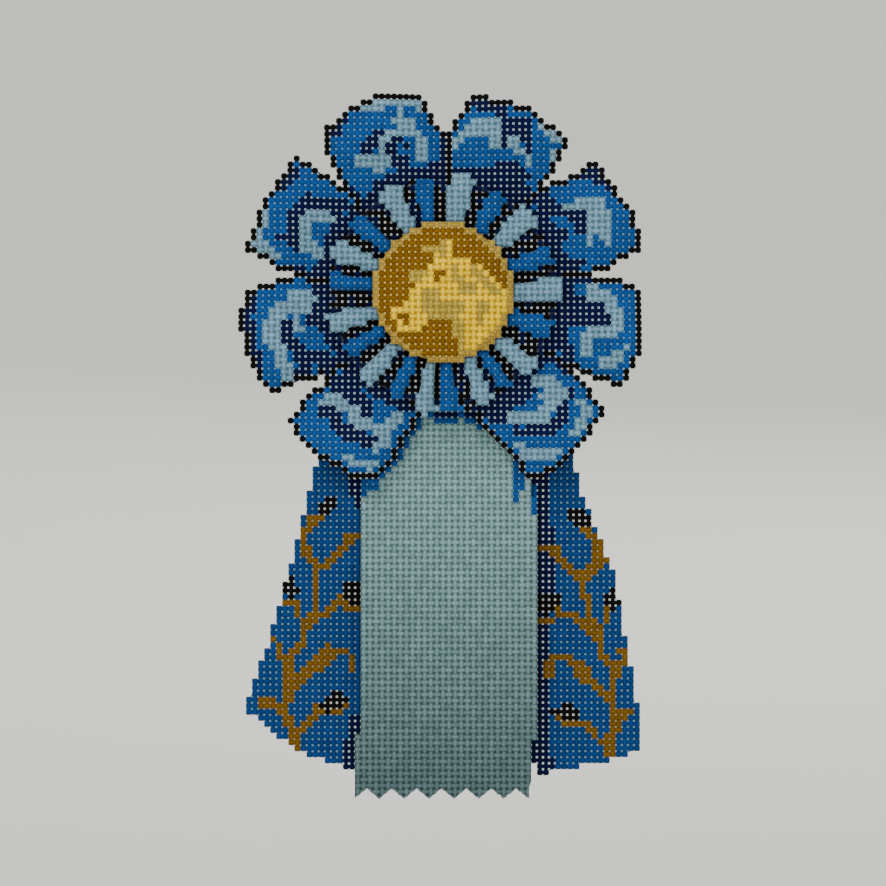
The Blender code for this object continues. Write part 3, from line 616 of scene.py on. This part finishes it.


# ---- the painted charts, in stitches from the middle of the button --------------------------------------

# Each petal's pale strokes are painted highlights and its navy strokes painted shade, over the petal's blue
PETAL_CHARTS = {
    "petal_1": [
        ("navy", 1.9, [(5.2, 31), (7.5, 30.6), (9.8, 30.1)]),
        ("navy", 1.9, [(8.9, 29.4), (10.3, 28), (12.8, 28), (13.9, 26.8), (10.8, 26.7)]),
        ("navy", 1.2, [(13.3, 25.7), (14, 23)]),
        ("navy", 2.4, [(4.5, 19.6), (8.3, 19.8), (11.3, 20.4), (13, 19)]),
        ("navy", 3.2, [(6.5, 18.4), (11.5, 17.6), (13.5, 15.4)]),
        ("pale", 2.2, [(4.4, 26.9), (5.7, 27.5), (8.4, 27.2)]),
        ("pale", 1.5, [(3.2, 26), (8.7, 26), (8.7, 24)]),
        ("pale", 1.4, [(2, 24.4), (2.9, 25.2)]),
        ("navy", 1.2, [(10, 27), (10, 24)]),
        ("pale", 1.5, [(11.5, 25.3), (11.5, 24.3), (12.6, 23.2)]),
        ("pale", 1.3, [(14.4, 22.4), (14.2, 21)]),
        ("pale", 1.9, [(16, 27.2), (17.7, 26.2), (19, 25.5)]),
        ("pale", 1.6, [(18.1, 23.2), (18.3, 22)]),
    ],
    "petal_2": [
        ("navy", 1.8, [(24.5, 20.5), (25.5, 18.9), (27.5, 17.5)]),
        ("navy", 2.0, [
            (16.7, 16.8), (17, 15), (16.3, 12), (17.9, 10.4), (19.5, 9.2), (18.1, 7.6), (18.6, 5.6),
        ]),
        ("navy", 2.2, [(18.6, 5.4), (22, 4.6)]),
        ("navy", 2.4, [(17.4, 14), (20.9, 13.4), (22.7, 12.2), (22.8, 10.4)]),
        ("navy", 1.9, [(23.6, 19.2), (25.4, 18.6)]),
        ("pale", 1.2, [(20, 14), (23, 14)]),
        ("pale", 1.9, [(22.4, 14.6), (25.4, 14.8)]),
        ("pale", 1.2, [(26, 14), (27, 13), (27, 8)]),
        ("pale", 2.2, [(25, 13), (25, 10.9)]),
        ("pale", 1.2, [(24, 11), (24, 7.9)]),
        ("pale", 1.2, [(26, 11), (26, 9)]),
    ],
    "petal_3": [
        ("navy", 2.4, [(20.2, 1.3), (20.4, -1.5), (25, -2.4), (27, -4)]),
        ("navy", 2.6, [(25.8, -4.6), (21, -3.8), (19.6, -4)]),
        ("navy", 2.2, [(19.3, -5.6), (19.3, -8.4), (20.4, -10), (20.9, -12)]),
        ("pale", 2.0, [
            (24.5, 1.2), (24.8, -0.6), (27.1, -1), (27.5, -2.6), (28.5, -3.8), (28.2, -5.6), (27.1, -7),
        ]),
        ("pale", 2.0, [(27.1, -7), (23.9, -6.8), (23.2, -8.2), (23.6, -9.3)]),
        ("pale", 1.2, [(29.8, -8.8), (30, -9)]),
        ("pale", 1.9, [(28.6, -10.6), (26.6, -11.6)]),
        ("pale", 1.2, [(26, -12), (28, -12)]),
    ],
    "petal_4": [
        ("navy", 2.2, [(8.2, -18.5), (10.3, -18.3), (9.4, -20.1), (6, -19.6)]),
        ("navy", 2.6, [(11, -15.5), (12.8, -17.2), (14.2, -15.1), (13.7, -13.7)]),
        ("navy", 1.7, [(20.6, -15.8), (20, -17.8), (19.3, -19.9), (19.5, -21), (17.2, -21.6)]),
        ("navy", 1.6, [(18, -22.2), (14.5, -22.7), (12.1, -23.2)]),
        ("navy", 1.2, [(12.3, -22.2), (12.8, -22.8)]),
        ("pale", 1.9, [(15.4, -14.4), (17.7, -14.1), (18.6, -15.7), (19.5, -16.2)]),
        ("pale", 2.8, [(17.6, -14.7), (17.4, -17), (17.6, -18)]),
        ("pale", 2.2, [(17.6, -18), (16.6, -19.8)]),
        ("pale", 1.9, [(11.6, -20.6), (16.4, -20.6)]),
        ("pale", 1.7, [(22.7, -18), (23.4, -19.4), (22.7, -21), (21.8, -23)]),
        ("pale", 1.7, [(12.1, -24.9), (13.5, -26.1), (16.7, -26.4), (19, -26.1)]),
        ("pale", 1.4, [(12.8, -27.2), (16.8, -27.2)]),
    ],
    "petal_5": [
        ("navy", 2.4, [(-19, -14.1), (-17.2, -16), (-14.9, -17.1), (-13, -18.3), (-12.6, -20.1)]),
        ("navy", 2.8, [(-15.8, -14.1), (-14.9, -16)]),
        ("navy", 2.4, [(-19.3, -19.2), (-17.6, -20), (-17.6, -21.5), (-16, -22.9), (-13.7, -23.4)]),
        ("navy", 2.2, [(-13.7, -23.6), (-12.6, -24.6), (-10.7, -24.4)]),
        ("pale", 1.9, [
            (-19.5, -18.1), (-18.1, -17.1), (-16.7, -18.5), (-14.9, -19.2), (-14.2, -20.4), (-12.6, -21.5),
        ]),
        ("pale", 2.1, [(-12.6, -21.6), (-10.5, -22.5), (-9.2, -22.6), (-8.2, -21.8), (-7.8, -20.1)]),
        ("pale", 2.4, [(-14.4, -19.6), (-14.0, -21.1)]),
        ("pale", 1.8, [(-9.1, -22.9), (-9, -24.4), (-10.9, -25.4)]),
        ("pale", 1.4, [(-15.6, -27), (-14.4, -28.2), (-10.7, -28.2)]),
        ("pale", 1.4, [(-12.3, -28.9), (-11.8, -29)]),
    ],
    "petal_6": [
        ("navy", 1.3, [(-30.8, -0.1), (-31.7, -3.8), (-31, -9.1), (-29.8, -11.8)]),
        ("navy", 2.3, [(-20.4, 0.8), (-20.2, -2), (-21.8, -4), (-20.4, -4.7), (-19, -5.6), (-18.6, -7.4)]),
        ("navy", 2.6, [(-22.2, -10.4), (-19, -11.1), (-17.5, -12)]),
        ("navy", 2.0, [
            (-25.7, -5.2), (-25.5, -7.7), (-23.9, -9.1), (-23.6, -10.9), (-22.2, -11.8), (-23.4, -13.2),
        ]),
        ("pale", 2.6, [(-22.2, -0.8), (-24.5, -0.8), (-25, -2.2), (-27, -3.2), (-28.2, -5.6), (-28, -7.9)]),
        ("pale", 2.4, [(-28, -7.9), (-26.8, -9.5), (-26.2, -11.6), (-25.2, -13.7)]),
        ("pale", 2.8, [(-22.6, -2), (-24, -2.6)]),
        ("pale", 1.4, [(-24, -5), (-23.4, -6.4)]),
    ],
    "petal_7": [
        ("navy", 1.9, [(-24.5, 19.8), (-25.8, 18.5), (-26.9, 17.4)]),
        ("navy", 2.1, [(-22.3, 15), (-19.7, 14.8), (-17.3, 14.5), (-14.6, 13.7)]),
        ("navy", 1.8, [(-22.3, 14.6), (-24.5, 13), (-24.9, 11.5), (-24.3, 10.2), (-24.5, 8.8), (-23.8, 7.1)]),
        ("navy", 1.2, [(-26.5, 9), (-25, 9)]),
        ("navy", 2.2, [(-17, 13.7), (-17.5, 11.7), (-17, 9.9), (-18.8, 8.4), (-19, 6.2), (-20, 4.2)]),
        ("pale", 1.8, [(-28.9, 13.7), (-29.8, 11.5), (-30, 9.5), (-30.6, 8.2), (-29.3, 7.1), (-27.8, 6.2)]),
        ("pale", 2.1, [(-18.8, 12.1), (-21, 12.8), (-22.5, 11.5), (-23, 9.5), (-22.7, 7.7), (-20.5, 6.7)]),
    ],
    "petal_8": [
        ("navy", 1.8, [(-16.6, 27.9), (-17.3, 26.6), (-17.9, 26)]),
        ("navy", 1.9, [(-10.2, 26), (-11.1, 25), (-12.9, 23.8), (-12.2, 23)]),
        ("navy", 2.3, [(-7.2, 25.3), (-8.7, 24.4), (-8.7, 22.5), (-7.4, 21.6), (-6.2, 21.1), (-6.1, 18.9)]),
        ("navy", 1.2, [(-5.9, 24.2), (-5.9, 24.1)]),
        ("navy", 1.9, [(-6, 19.7), (0, 20.3)]),
        ("navy", 1.9, [(-10.5, 17.4), (-8, 18.4)]),
        ("pale", 1.8, [(-12.4, 30.4), (-10, 30.5)]),
        ("pale", 1.3, [(-9.3, 31), (-4.2, 31), (-3.4, 29.6)]),
        ("pale", 1.2, [(-7, 31), (-7, 28)]),
        ("pale", 1.9, [(-7.4, 28), (-5.3, 27.6)]),
        ("pale", 1.6, [(-6.4, 27), (-5.4, 26.4)]),
        ("pale", 1.5, [(-6, 26.2), (-8.8, 26.2), (-9.9, 24.9), (-10, 22)]),
        ("pale", 1.9, [(-13.6, 21.5), (-9.6, 21.5)]),
        ("pale", 1.2, [(-11, 20), (-10, 20)]),
        ("pale", 1.8, [(-5.4, 26.4), (-3.6, 25.3), (-3.4, 24.2), (-3.8, 22.2)]),
    ],
}

# A horse's head that looks to the left. A width of 0 fills the outline
# Stitches where a petal's outline reaches past its ribbon
OUTER_STITCHES = {
    "petal_1": [(20, 24), (18, 20)],
    "petal_2": [(24, 21), (25, 21), (26, 20), (32, 8), (32, 7), (31, 7), (30, 6)],
    "petal_3": [(28, -15)],
    "petal_4": [(24, -16), (25, -18), (26, -19), (26, -20), (24, -23)],
    "petal_5": [
        (-21, -16), (-22, -17), (-23, -18), (-23, -19), (-24, -20), (-25, -21), (-24, -23), (-23, -24),
        (-22, -25), (-21, -26), (-20, -27),
    ],
    "petal_6": [
        (-32, 0), (-33, -3), (-33, -4), (-33, -5), (-33, -6), (-32, -9), (-32, -10), (-31, -12),
        (-30, -14), (-29, -15), (-28, -16),
    ],
    "petal_7": [(-32, 7), (-31, 7), (-30, 6), (-28, 5), (-27, 4), (-26, 4)],
    "petal_8": [(-19, 27), (-19, 24), (-19, 23)],
}

# The tan patches and lines on the horse are painted shade on its yellow
BUTTON_CHART = [
    (
        "yellow",
        0,
        [
            (-1.4, 6.3), (1.0, 5.6), (2.4, 5.2), (4.1, 5.4), (6.0, 4.1), (7.7, 2.8), (9.4, 0.9), (10.4, -0.6),
            (10.5, -2.8), (10.1, -4.6), (9.3, -6.3), (7.9, -8.2), (6.5, -9.6), (3.9, -10.9), (3.7, -6.6),
            (2.7, -3.8), (-2.4, -3.8), (-3.0, -5.4), (-3.4, -6.9), (-7.4, -6.7), (-8.0, -4.5), (-8.6, -3.2),
            (-7.1, -2.1), (-5.4, -1.2), (-5.0, 0.5), (-4.2, 1.9), (-2.9, 2.9), (-1.9, 4.3),
        ],
    ),
    ("tan", 0, [(-3.7, 7.7), (-1.2, 8.1), (-0.6, 6.5), (-1.6, 6.3), (-2.7, 6.4)]),
    ("tan", 1.1, [(0.1, 7.9), (0.1, 6.4)]),
    ("yellow", 1.1, [(1.1, 8.2), (1.1, 5.6)]),
    ("tan", 0, [(-2.3, 4.6), (-3.2, 3.5), (-5.6, 3.4), (-5.6, 1.4), (-4.4, 1.6), (-2.9, 2.6)]),
    (
        "tan",
        0,
        [
            (-3.5, -2.4), (-3.4, -0.4), (-2.4, 0.6), (-0.6, 0.5), (-0.4, -1.4), (3.5, -1.5), (3.4, -2.6),
            (2.6, -4.4), (-2.6, -4.4),
        ],
    ),
    ("tan", 0, [(1.4, -3.6), (2.6, -3.6), (3.6, -6.6), (3.7, -10.9), (2.4, -10.9), (2.4, -8.7), (1.6, -6)]),
    ("tan", 0, [(4.6, 4.5), (5.6, 3.5), (7.6, 1.6), (9.5, -0.4), (8.4, -0.5), (6.4, 0.6), (4.6, 2.4)]),
    ("tan", 1.2, [(2, 4), (2, 2)]),
    ("tan", 1.2, [(3, 2), (3, 1)]),
    ("tan", 1.9, [(3.6, 0.5), (5, 0.5)]),
    ("tan", 1.9, [(6.4, -2.5), (7, -2.5)]),
    ("tan", 1.2, [(6, -4), (6, -5)]),
    ("gold", 0, [(-1.5, 3.4), (0.5, 3.4), (0.5, 2.4), (-0.5, 2.4), (-0.5, 1.5), (-1.5, 1.5)]),
    ("gold", 0, [(-7.5, -3.5), (-5.4, -3.5), (-5.4, -5.6), (-6.5, -5.6), (-6.5, -4.5), (-7.5, -4.5)]),
]

LEFT_CHART = [
    # The navy strips beside the centre tail are painted shadow
    ("seam", 0, [(-15.5, -26), (-13, -26), (-13, -35.4), (-14.5, -35.4), (-14.5, -33.4), (-15.5, -33.4)]),
    ("seam", 0, [
        (-15.5, -69.6), (-13, -69.6), (-13, -80), (-16.6, -80), (-16.6, -74.4), (-15.5, -73.4),
    ]),
    ("vine", 1.5, [
        (-20.0, -37), (-21.7, -37.6), (-22.3, -38.7), (-23.3, -39.9), (-22.9, -41.6), (-22.2, -43.2),
    ]),
    ("vine", 1.3, [(-22.2, -43.2), (-21.3, -44.4), (-20.8, -45.6), (-21, -49.2), (-21.2, -51.2)]),
    ("vine", 1.2, [
        (-21.2, -51.2), (-21.5, -53), (-22.3, -54.6), (-22.8, -56), (-23.3, -57.4),
        (-24.4, -58.9), (-24.9, -60.9),
    ]),
    ("vine", 1.7, [
        (-13.7, -39.9), (-15.1, -40.2), (-16.3, -41.7), (-17.7, -43), (-18.9, -44.2), (-19.9, -45.1),
    ]),
    ("vine", 1.15, [(-25.8, -50.6), (-23.9, -51.1), (-23.9, -52.9), (-22.9, -54.4)]),
    ("vine", 1.3, [
        (-13.9, -52.0), (-15.4, -51.8), (-16.9, -50.2), (-18, -51), (-19.1, -52.3),
        (-20.3, -53.2), (-21.8, -54),
    ]),
    ("vine", 1.2, [(-27.6, -57.2), (-26.8, -58.9), (-26.2, -60.4), (-25.5, -61.5)]),
    ("vine", 1.9, [(-25.1, -61.2), (-25.6, -63.1), (-25.2, -65)]),
    ("vine", 1.5, [
        (-25.2, -65), (-25.9, -67.6), (-26, -69.4), (-25.2, -71.3), (-24.6, -72.7), (-24.7, -74.8),
    ]),
    ("vine", 1.15, [(-14.6, -62), (-14.7, -60.4), (-15.6, -59.2), (-17, -58.6), (-18.5, -58.9)]),
    ("vine", 2.5, [(-18.9, -59.2), (-20.6, -60.9), (-22.2, -62.2)]),
    ("vine", 1.7, [(-22.4, -62.6), (-23.9, -64.1), (-24.8, -65.2)]),
    ("vine", 1.2, [
        (-16.4, -68.4), (-18.2, -69.2), (-20.9, -69.2), (-22.1, -70.3), (-22.9, -71.9), (-24.2, -72.3),
    ]),
    ("vine", 1.1, [(-20.8, -68.2), (-20.9, -69.2)]),
    ("vine", 1.3, [(-29.8, -68.3), (-29.6, -67.4), (-28, -67.5), (-27.3, -68.6), (-26.2, -69.3)]),
    ("black", 0, [
        (-20.6, -36.7), (-18.5, -36.7), (-17.5, -34.8), (-17.8, -33.4), (-19.4, -33.6), (-21.3, -35.4),
    ]),
    ("black", 0, [(-26.2, -46.3), (-25.2, -46.6), (-23.6, -49.2), (-25.2, -50.5), (-26.5, -49.6)]),
    ("black", 3.5, [(-14.9, -49.5), (-14.9, -48.9)]),
    ("black", 0, [
        (-20.5, -68.6), (-19.3, -66.4), (-16.8, -65.6), (-15.4, -66.9), (-16.4, -68.4), (-19.1, -69.3),
    ]),
]

RIGHT_CHART = [
    # The navy strip beside the centre tail is painted shadow
    ("seam", 0, [(14.4, -20), (17.6, -20), (17.6, -38.5), (18.5, -38.5), (18.5, -81), (14.4, -81)]),
    ("tail", 0, [(17.5, -52.5), (18.6, -52.5), (18.6, -76.6), (17.5, -76.6)]),
    ("blue", 1.1, [(15, -32), (15, -34)]),
    ("vine", 1.3, [(24.6, -38), (22.9, -39), (24.3, -39.9), (25.3, -41.3)]),
    ("vine", 2.0, [(25.6, -41.9), (26.1, -43.3), (25.9, -44.6), (24.9, -45.4), (24, -46.2)]),
    ("vine", 1.25, [
        (23.9, -46.3), (23.2, -47.6), (23.3, -49.8), (24.1, -51.9), (24.6, -54.4), (25.6, -56.8),
    ]),
    ("vine", 1.25, [(15, -41.6), (18.1, -41.7)]),
    ("vine", 1.9, [(18.2, -42.2), (18.9, -43.3), (20.1, -44.6), (21.3, -45.7), (22.5, -46.6)]),
    ("vine", 1.2, [(15, -53.7), (18.2, -53.7), (19.9, -52.6), (22.2, -53.5), (23.3, -54.7), (24.8, -56.2)]),
    ("vine", 1.1, [(19.4, -51.5), (19.4, -52.4)]),
    ("vine", 1.2, [(26.8, -51.8), (26.6, -54.2), (26, -56.2)]),
    ("vine", 1.4, [
        (25.6, -56.8), (26, -58.5), (26.5, -60), (27.7, -61.6), (28, -63.1), (28.2, -65), (27.8, -67.2),
    ]),
    ("vine", 1.5, [(27.8, -67.2), (28.4, -68.7), (28.8, -70.2), (28.4, -72.1), (27.5, -73.4), (27.5, -76.4)]),
    ("vine", 1.25, [(29.6, -59.1), (30.2, -59.8), (29.5, -61.2), (28.8, -62.7)]),
    ("vine", 1.2, [(17.6, -63.0), (17.4, -61.3), (18.4, -60.3), (20, -60.2), (21.4, -60.4)]),
    ("vine", 2.4, [(22, -61.3), (23.1, -62.8), (24, -63.7)]),
    ("vine", 1.7, [(24.2, -63.9), (25.6, -65.2), (27.1, -66.3), (27.8, -67.2)]),
    ("vine", 1.2, [(19.3, -69.8), (20.6, -71), (23.5, -71), (24.8, -72.4), (25.6, -73.8), (27.3, -74)]),
    ("vine", 1.2, [(31.4, -69), (30.1, -69.2), (29.2, -70.6)]),
    ("black", 0, [(20.6, -35.5), (23.2, -35.5), (24.5, -37.5), (23.6, -38.5), (21.4, -38.5), (20.6, -37.2)]),
    ("black", 0, [(26, -50.1), (28.1, -48.9), (29.2, -51), (28.7, -52.5), (27.3, -52.4), (26.5, -51.3)]),
    ("black", 0, [(14.8, -49.4), (18.5, -49), (19.4, -50.3), (19.1, -51.5), (17.6, -53.2), (14.8, -52.5)]),
    ("black", 0, [(17.6, -69.2), (19.7, -67.6), (21.5, -67.9), (23.1, -69.5), (22.4, -70.5), (20.1, -70.4)]),
]

CENTRE_CHART = [
    ("blue", 1.1, [(12, -28), (12, -34)]),
    ("blue", 1.1, [(13, -29), (13, -32)]),
    ("blue", 1.1, [(15, -31), (15, -36)]),
    ("blue", 1.1, [(-13, -32), (-11, -32)]),
    ("blue", 1.1, [(-13, -33), (-13, -33)]),
    ("navy", 1.1, [(-3.4, -20), (9.5, -20)]),
    ("blue", 1.1, [(-2.6, -20), (-2.4, -20)]),
    ("blue", 1.1, [(3.1, -20), (3.3, -20)]),
    ("blue", 1.1, [(-5.2, -21), (-3.8, -21)]),
    ("blue", 1.1, [(-1.4, -21), (-0.4, -21)]),
    ("blue", 1.1, [(1.2, -21), (2.1, -21)]),
    ("blue", 1.1, [(3.6, -21), (5.2, -21)]),
    ("blue", 1.1, [(6.1, -22), (7.2, -22.4)]),
]


# ---- build -------------------------------------------------------------------------------------------


def smooth_piece(node, material, levels, scale):
    """A rounded lining piece that replaces a CAD node. Returns it and the surface that its canvas lies on."""
    piece = subdivided(f"{node}_lining", cad_mesh(node), levels)
    tree = tree_of(piece)
    make_room(piece, scale)
    piece.data.materials.clear()
    piece.data.materials.append(material)
    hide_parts(node)
    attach(piece, "rosette")
    return piece, tree


def front_owners(trees):
    """For each stitch, the name of the piece that is in front over most of it."""
    owners = {}
    for i in FACE_COLUMNS:
        for j in FACE_ROWS:
            votes = []
            for start in rays_into(i, j):
                met = []
                for name, (tree, low, high) in trees.items():
                    if low.x <= start[0] <= high.x and low.z <= start[2] <= high.z:
                        met.append((front_of(tree, start), name))
                met = [pair for pair in met if pair[0] is not None]
                if met:
                    votes.append(min(met, key=lambda pair: pair[0])[1])
            if len(votes) >= 5:
                owners[i, j] = max(dict.fromkeys(votes), key=votes.count)
    for i, j in [(i, j) for i in CLOSED_RANGE for j in CLOSED_RANGE]:
        around = [owners.get((i + a, j + b)) for a in (-1, 0, 1) for b in (-1, 0, 1)]
        around = [name for name in around if name]
        if (i, j) not in owners and math.hypot(i, j) < CLOSED and len(around) >= 4:
            owners[i, j] = max(sorted(set(around)), key=around.count)
    for name, outer in OUTER_STITCHES.items():
        for cell in outer:
            owners.setdefault(cell, name)
    return owners


def petal_colours(name, cells, owners):
    """The chart with its painted highlights and shade, navy painted shade where the petal meets the ring and
    the pieces beside it, and its black outline.
    """
    colours = painted(cells, "blue", PETAL_CHARTS[name])
    for k, (i, j) in enumerate(cells):
        beside = [owners.get(c, "") for c in ((i - 1, j), (i + 1, j), (i, j - 1), (i, j + 1))]
        # Black along the open and along later petals; navy, as painted shade, along any other piece and near
        # the ring
        if any(b == "" or (b.startswith("petal") and b > name) for b in beside):
            colours[k] = "black"
        elif any(b != name for b in beside) or math.hypot(i, j) < PETAL_SHADE:
            colours[k] = "navy"
    return colours


def ring_colours(cells):
    """Painted shade between the pleats: mostly black with some navy, and outside RING_BLACK the other way
    round.
    """
    chance = np.random.default_rng(8).random(len(cells))
    share = [0.22 if math.hypot(i, j) <= RING_BLACK else 0.62 for i, j in cells]
    return np.where(chance < share, "navy", "black")


def face_cuts():
    """For each piece of the face: lining, its subdivision and scale, flat size, area, held how, on what."""
    cuts = {}
    for k in range(1, 9):
        cuts[f"petal_{k}"] = ("navy_ribbon", 2, 0.945, (0.060, 0.052), 0.0021, "folded", "buckram_disc")
    for tint in ("pale", "blue"):
        made = (f"{tint}_ribbon", 2, 0.88, (0.0245, 0.0105), 0.00018, "folded", "underlay_ring")
        for k in range(1, 11):
            cuts[f"{tint}_pleat_{k:02d}"] = made
    # The underlay ring's dark canvas is the painted shade between the pleats
    cuts["underlay_ring"] = ("navy_ribbon", 1, 0.975, (0.076, 0.076), 0.0041, "laid", "buckram_disc")
    cuts["button_cover"] = ("gold_ribbon", 1, 0.99, (0.050, 0.050), 0.0018, "stretched", "button_shell")
    return cuts


def face_colours(node, cells, owners):
    """The colours of the cells of one piece of the face, and the options that its canvas needs."""
    if node.startswith("petal"):
        return petal_colours(node, cells, owners), {"deepest": PETAL_FRONT}
    if "pleat" in node:
        return painted(cells, node.split("_")[0], []), {"deepest": PLEAT_FRONT}
    if node == "underlay_ring":
        return ring_colours(cells), {}
    colours = painted(cells, "gold", BUTTON_CHART)
    for k, cell in enumerate(cells):
        if math.hypot(*cell) > BUTTON_FACE:
            colours[k] = "rim"
    return colours, {"raised": [k for k, colour in enumerate(colours) if colour in ("yellow", "tan")]}


def build_rosette():
    """Linings and canvas of everything in front of the tails. Returns which piece each stitch belongs to."""
    cuts = face_cuts()
    pieces, trees = {}, {}
    for node, (lining, levels, scale, *_) in cuts.items():
        pieces[node], tree = smooth_piece(node, MATERIALS[lining], levels, scale)
        trees[node] = (tree, *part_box(node))
    owners = front_owners(trees)
    for node, (_, _, _, flat, area, held, under) in cuts.items():
        cells = sorted(c for c, name in owners.items() if name == node)
        colours, options = face_colours(node, cells, owners)
        face = canvas(f"{node}_canvas", trees[node][0], cells, colours, **options)
        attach(face, "rosette")
    return owners


def ribbon_strip(side, material):
    """One tail as a single ribbon across its bend. Returns it and the surface that its canvas lies on."""
    bm = cad_mesh(f"{side}_tail_top", f"{side}_tail")
    caps = [f for f in bm.faces if all(abs(v.co.z - BEND_Z) < CAP_DEPTH for v in f.verts)]
    bmesh.ops.delete(bm, geom=caps, context="FACES")
    ends = [e for e in bm.edges if e.is_boundary]
    bmesh.ops.bridge_loops(bm, edges=ends)
    for step in range(STRIP_CUTS):
        bmesh.ops.bisect_plane(
            bm,
            geom=bm.verts[:] + bm.edges[:] + bm.faces[:],
            plane_co=(0, 0, STRIP_TOP - STRIP_STEP * step),
            plane_no=(0, 0, 1),
            dist=0.12 * MM,  # a corner this close to a cut is used as it is, which leaves no slivers
        )
    bm.normal_update()
    tree = BVHTree.FromBMesh(bm)
    moves = {}
    for vertex in bm.verts:
        edge_faces = [f.normal for f in vertex.link_faces if abs(f.normal.y) < 0.5 and f.calc_area() > SLIVER]
        shift = Vector()
        if edge_faces and vertex.co.z < CARD_FOOT_Z:
            mean = sum(edge_faces, Vector()).normalized()
            shift -= mean * EDGE_INSET / max(0.5, min(mean.dot(n) for n in edge_faces))
        if any(f.normal.y < -0.5 for f in vertex.link_faces):
            shift.y += SINK
        moves[vertex] = shift
    for vertex, shift in moves.items():
        vertex.co += shift
    strip = mesh_object(f"{side}_tail_lining", bm)
    strip.data.set_sharp_from_angle(angle=math.radians(50))
    strip.data.materials.append(material)
    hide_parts(f"{side}_tail_top", f"{side}_tail")
    return strip, tree


def build_tails(owners):
    """The three tails, each a lining and its canvas."""
    for side, base, chart, flat, area, lining in (
        ("centre", "centre", CENTRE_CHART, (0.057, 0.151), None, "pale_ribbon"),
        ("left", "tail", LEFT_CHART, (0.040, 0.148), 0.0055, "tail_ribbon"),
        ("right", "tail", RIGHT_CHART, (0.040, 0.147), 0.0057, "tail_ribbon"),
    ):
        strip, tree = ribbon_strip(side, MATERIALS[lining])
        low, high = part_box(f"{side}_tail_top")
        low_2, high_2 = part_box(f"{side}_tail")
        box = (Vector(map(min, low, low_2)), Vector(map(max, high, high_2)))
        cells = [c for c in covered_cells(tree, box) if c[1] * STITCH < TAIL_CANVAS_TOP]
        options = {}
        if side == "centre":
            whole = set(cells)
            cells += [c for c in covered_cells(tree, box, 1) if c[1] < PINKED_ROW + 1 and c not in whole]
            options["trim_row"] = PINKED_ROW - 0.5
        colours = painted(cells, base, chart)
        for k, (i, j) in enumerate(cells):
            if side == "centre" and "petal_5" in (owners.get((i - 1, j)), owners.get((i, j + 1))):
                colours[k] = "blue"
        face = canvas(f"{side}_tail_canvas", tree, cells, colours, hem=TAIL_HEM, **options)
        if side == "centre":
            darken_down(face)
        for piece in (strip, face):
            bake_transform(piece)


def darken_down(face):
    """Painted shade that darkens the centre tail's threads towards its foot, and what shows through its holes
    more.
    """
    mesh = face.data
    heights = np.array([p.center.z for p in mesh.polygons])
    share = np.clip((FADE_TOP - heights) / FADE_LENGTH, 0, 1)
    for key, foot in (("Thread", 0.4), ("Hole", 0.34)):
        attribute = mesh.attributes[key]
        colours = np.zeros(len(attribute.data) * 4, np.float32)
        attribute.data.foreach_get("color", colours)
        colours = colours.reshape(-1, 4)
        colours[:, :3] *= (1 - (1 - foot) * share)[:, None]
        attribute.data.foreach_set("color", colours.ravel())


def build_hard_parts():
    """The card and the metal keep their CAD shapes, in new materials."""
    for material, nodes in (
        ("card", ["backing_card"]),
        ("brass", ["button_shell"]),
        ("nickel", ["button_back_plate", "button_post", "pin_plate", "pin_stem", "hinge_rivet"]),
        ("nickel", ["catch_barrel", "plate_rivet_left", "plate_rivet_right", "staple_left", "staple_right"]),
    ):
        for node in nodes:
            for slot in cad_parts[node].material_slots:
                slot.material = MATERIALS[material]


def build_packing():
    """The felt pad and the buckram disc, with soft edges."""
    for node, material, levels, flat, area, under in (
        ("felt_pad", "felt", 3, (0.054, 0.037), 0.0017, "backing_card"),
        ("buckram_disc", "buckram", 2, (0.062, 0.062), 0.0030, "felt_pad"),
    ):
        piece = subdivided(f"{node}_soft", creased(cad_mesh(node)), levels)
        if node == "felt_pad":
            rng = np.random.default_rng(5)
            for vertex in piece.data.vertices:
                vertex.co += vertex.normal * float(rng.normal(0, FUZZ))
        piece.data.materials.clear()
        piece.data.materials.append(MATERIALS[material])
        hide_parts(node)
        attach(piece, "rosette")


def creased(bm):
    """Keeps a flat piece's sharp edges from shrinking much under subdivision."""
    layer = bm.edges.layers.float.get("crease_edge") or bm.edges.layers.float.new("crease_edge")
    for edge in bm.edges:
        if len(edge.link_faces) == 2 and edge.calc_face_angle(0) > math.radians(40):
            edge[layer] = 0.7
    return bm


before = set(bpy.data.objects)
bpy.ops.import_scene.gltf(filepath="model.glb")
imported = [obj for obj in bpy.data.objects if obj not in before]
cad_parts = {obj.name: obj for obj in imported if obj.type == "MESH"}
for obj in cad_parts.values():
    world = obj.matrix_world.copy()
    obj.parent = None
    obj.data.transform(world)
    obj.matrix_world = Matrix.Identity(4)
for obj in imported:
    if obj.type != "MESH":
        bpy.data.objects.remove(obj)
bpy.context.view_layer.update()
add_camera()
MATERIALS = {
    "canvas": canvas_material(),
    "navy_ribbon": ribbon_material("navy_ribbon", linear(8, 20, 60)),
    "blue_ribbon": ribbon_material("blue_ribbon", linear(14, 70, 128)),
    "tail_ribbon": ribbon_material("tail_ribbon", linear(12, 64, 116)),
    "pale_ribbon": ribbon_material("pale_ribbon", linear(120, 150, 160)),
    "gold_ribbon": ribbon_material("gold_ribbon", linear(150, 118, 44)),
    "card": card_material(),
    "felt": felt_material(),
    "buckram": buckram_material(),
    "nickel": metal_material("nickel_plate", linear(134, 131, 124), linear(86, 80, 72), 0.16),
    "brass": metal_material("brass_sheet", linear(190, 152, 84), linear(128, 98, 56), 0.3),
}
add_stage()
add_lights()
build_tails(build_rosette())
build_packing()
build_hard_parts()
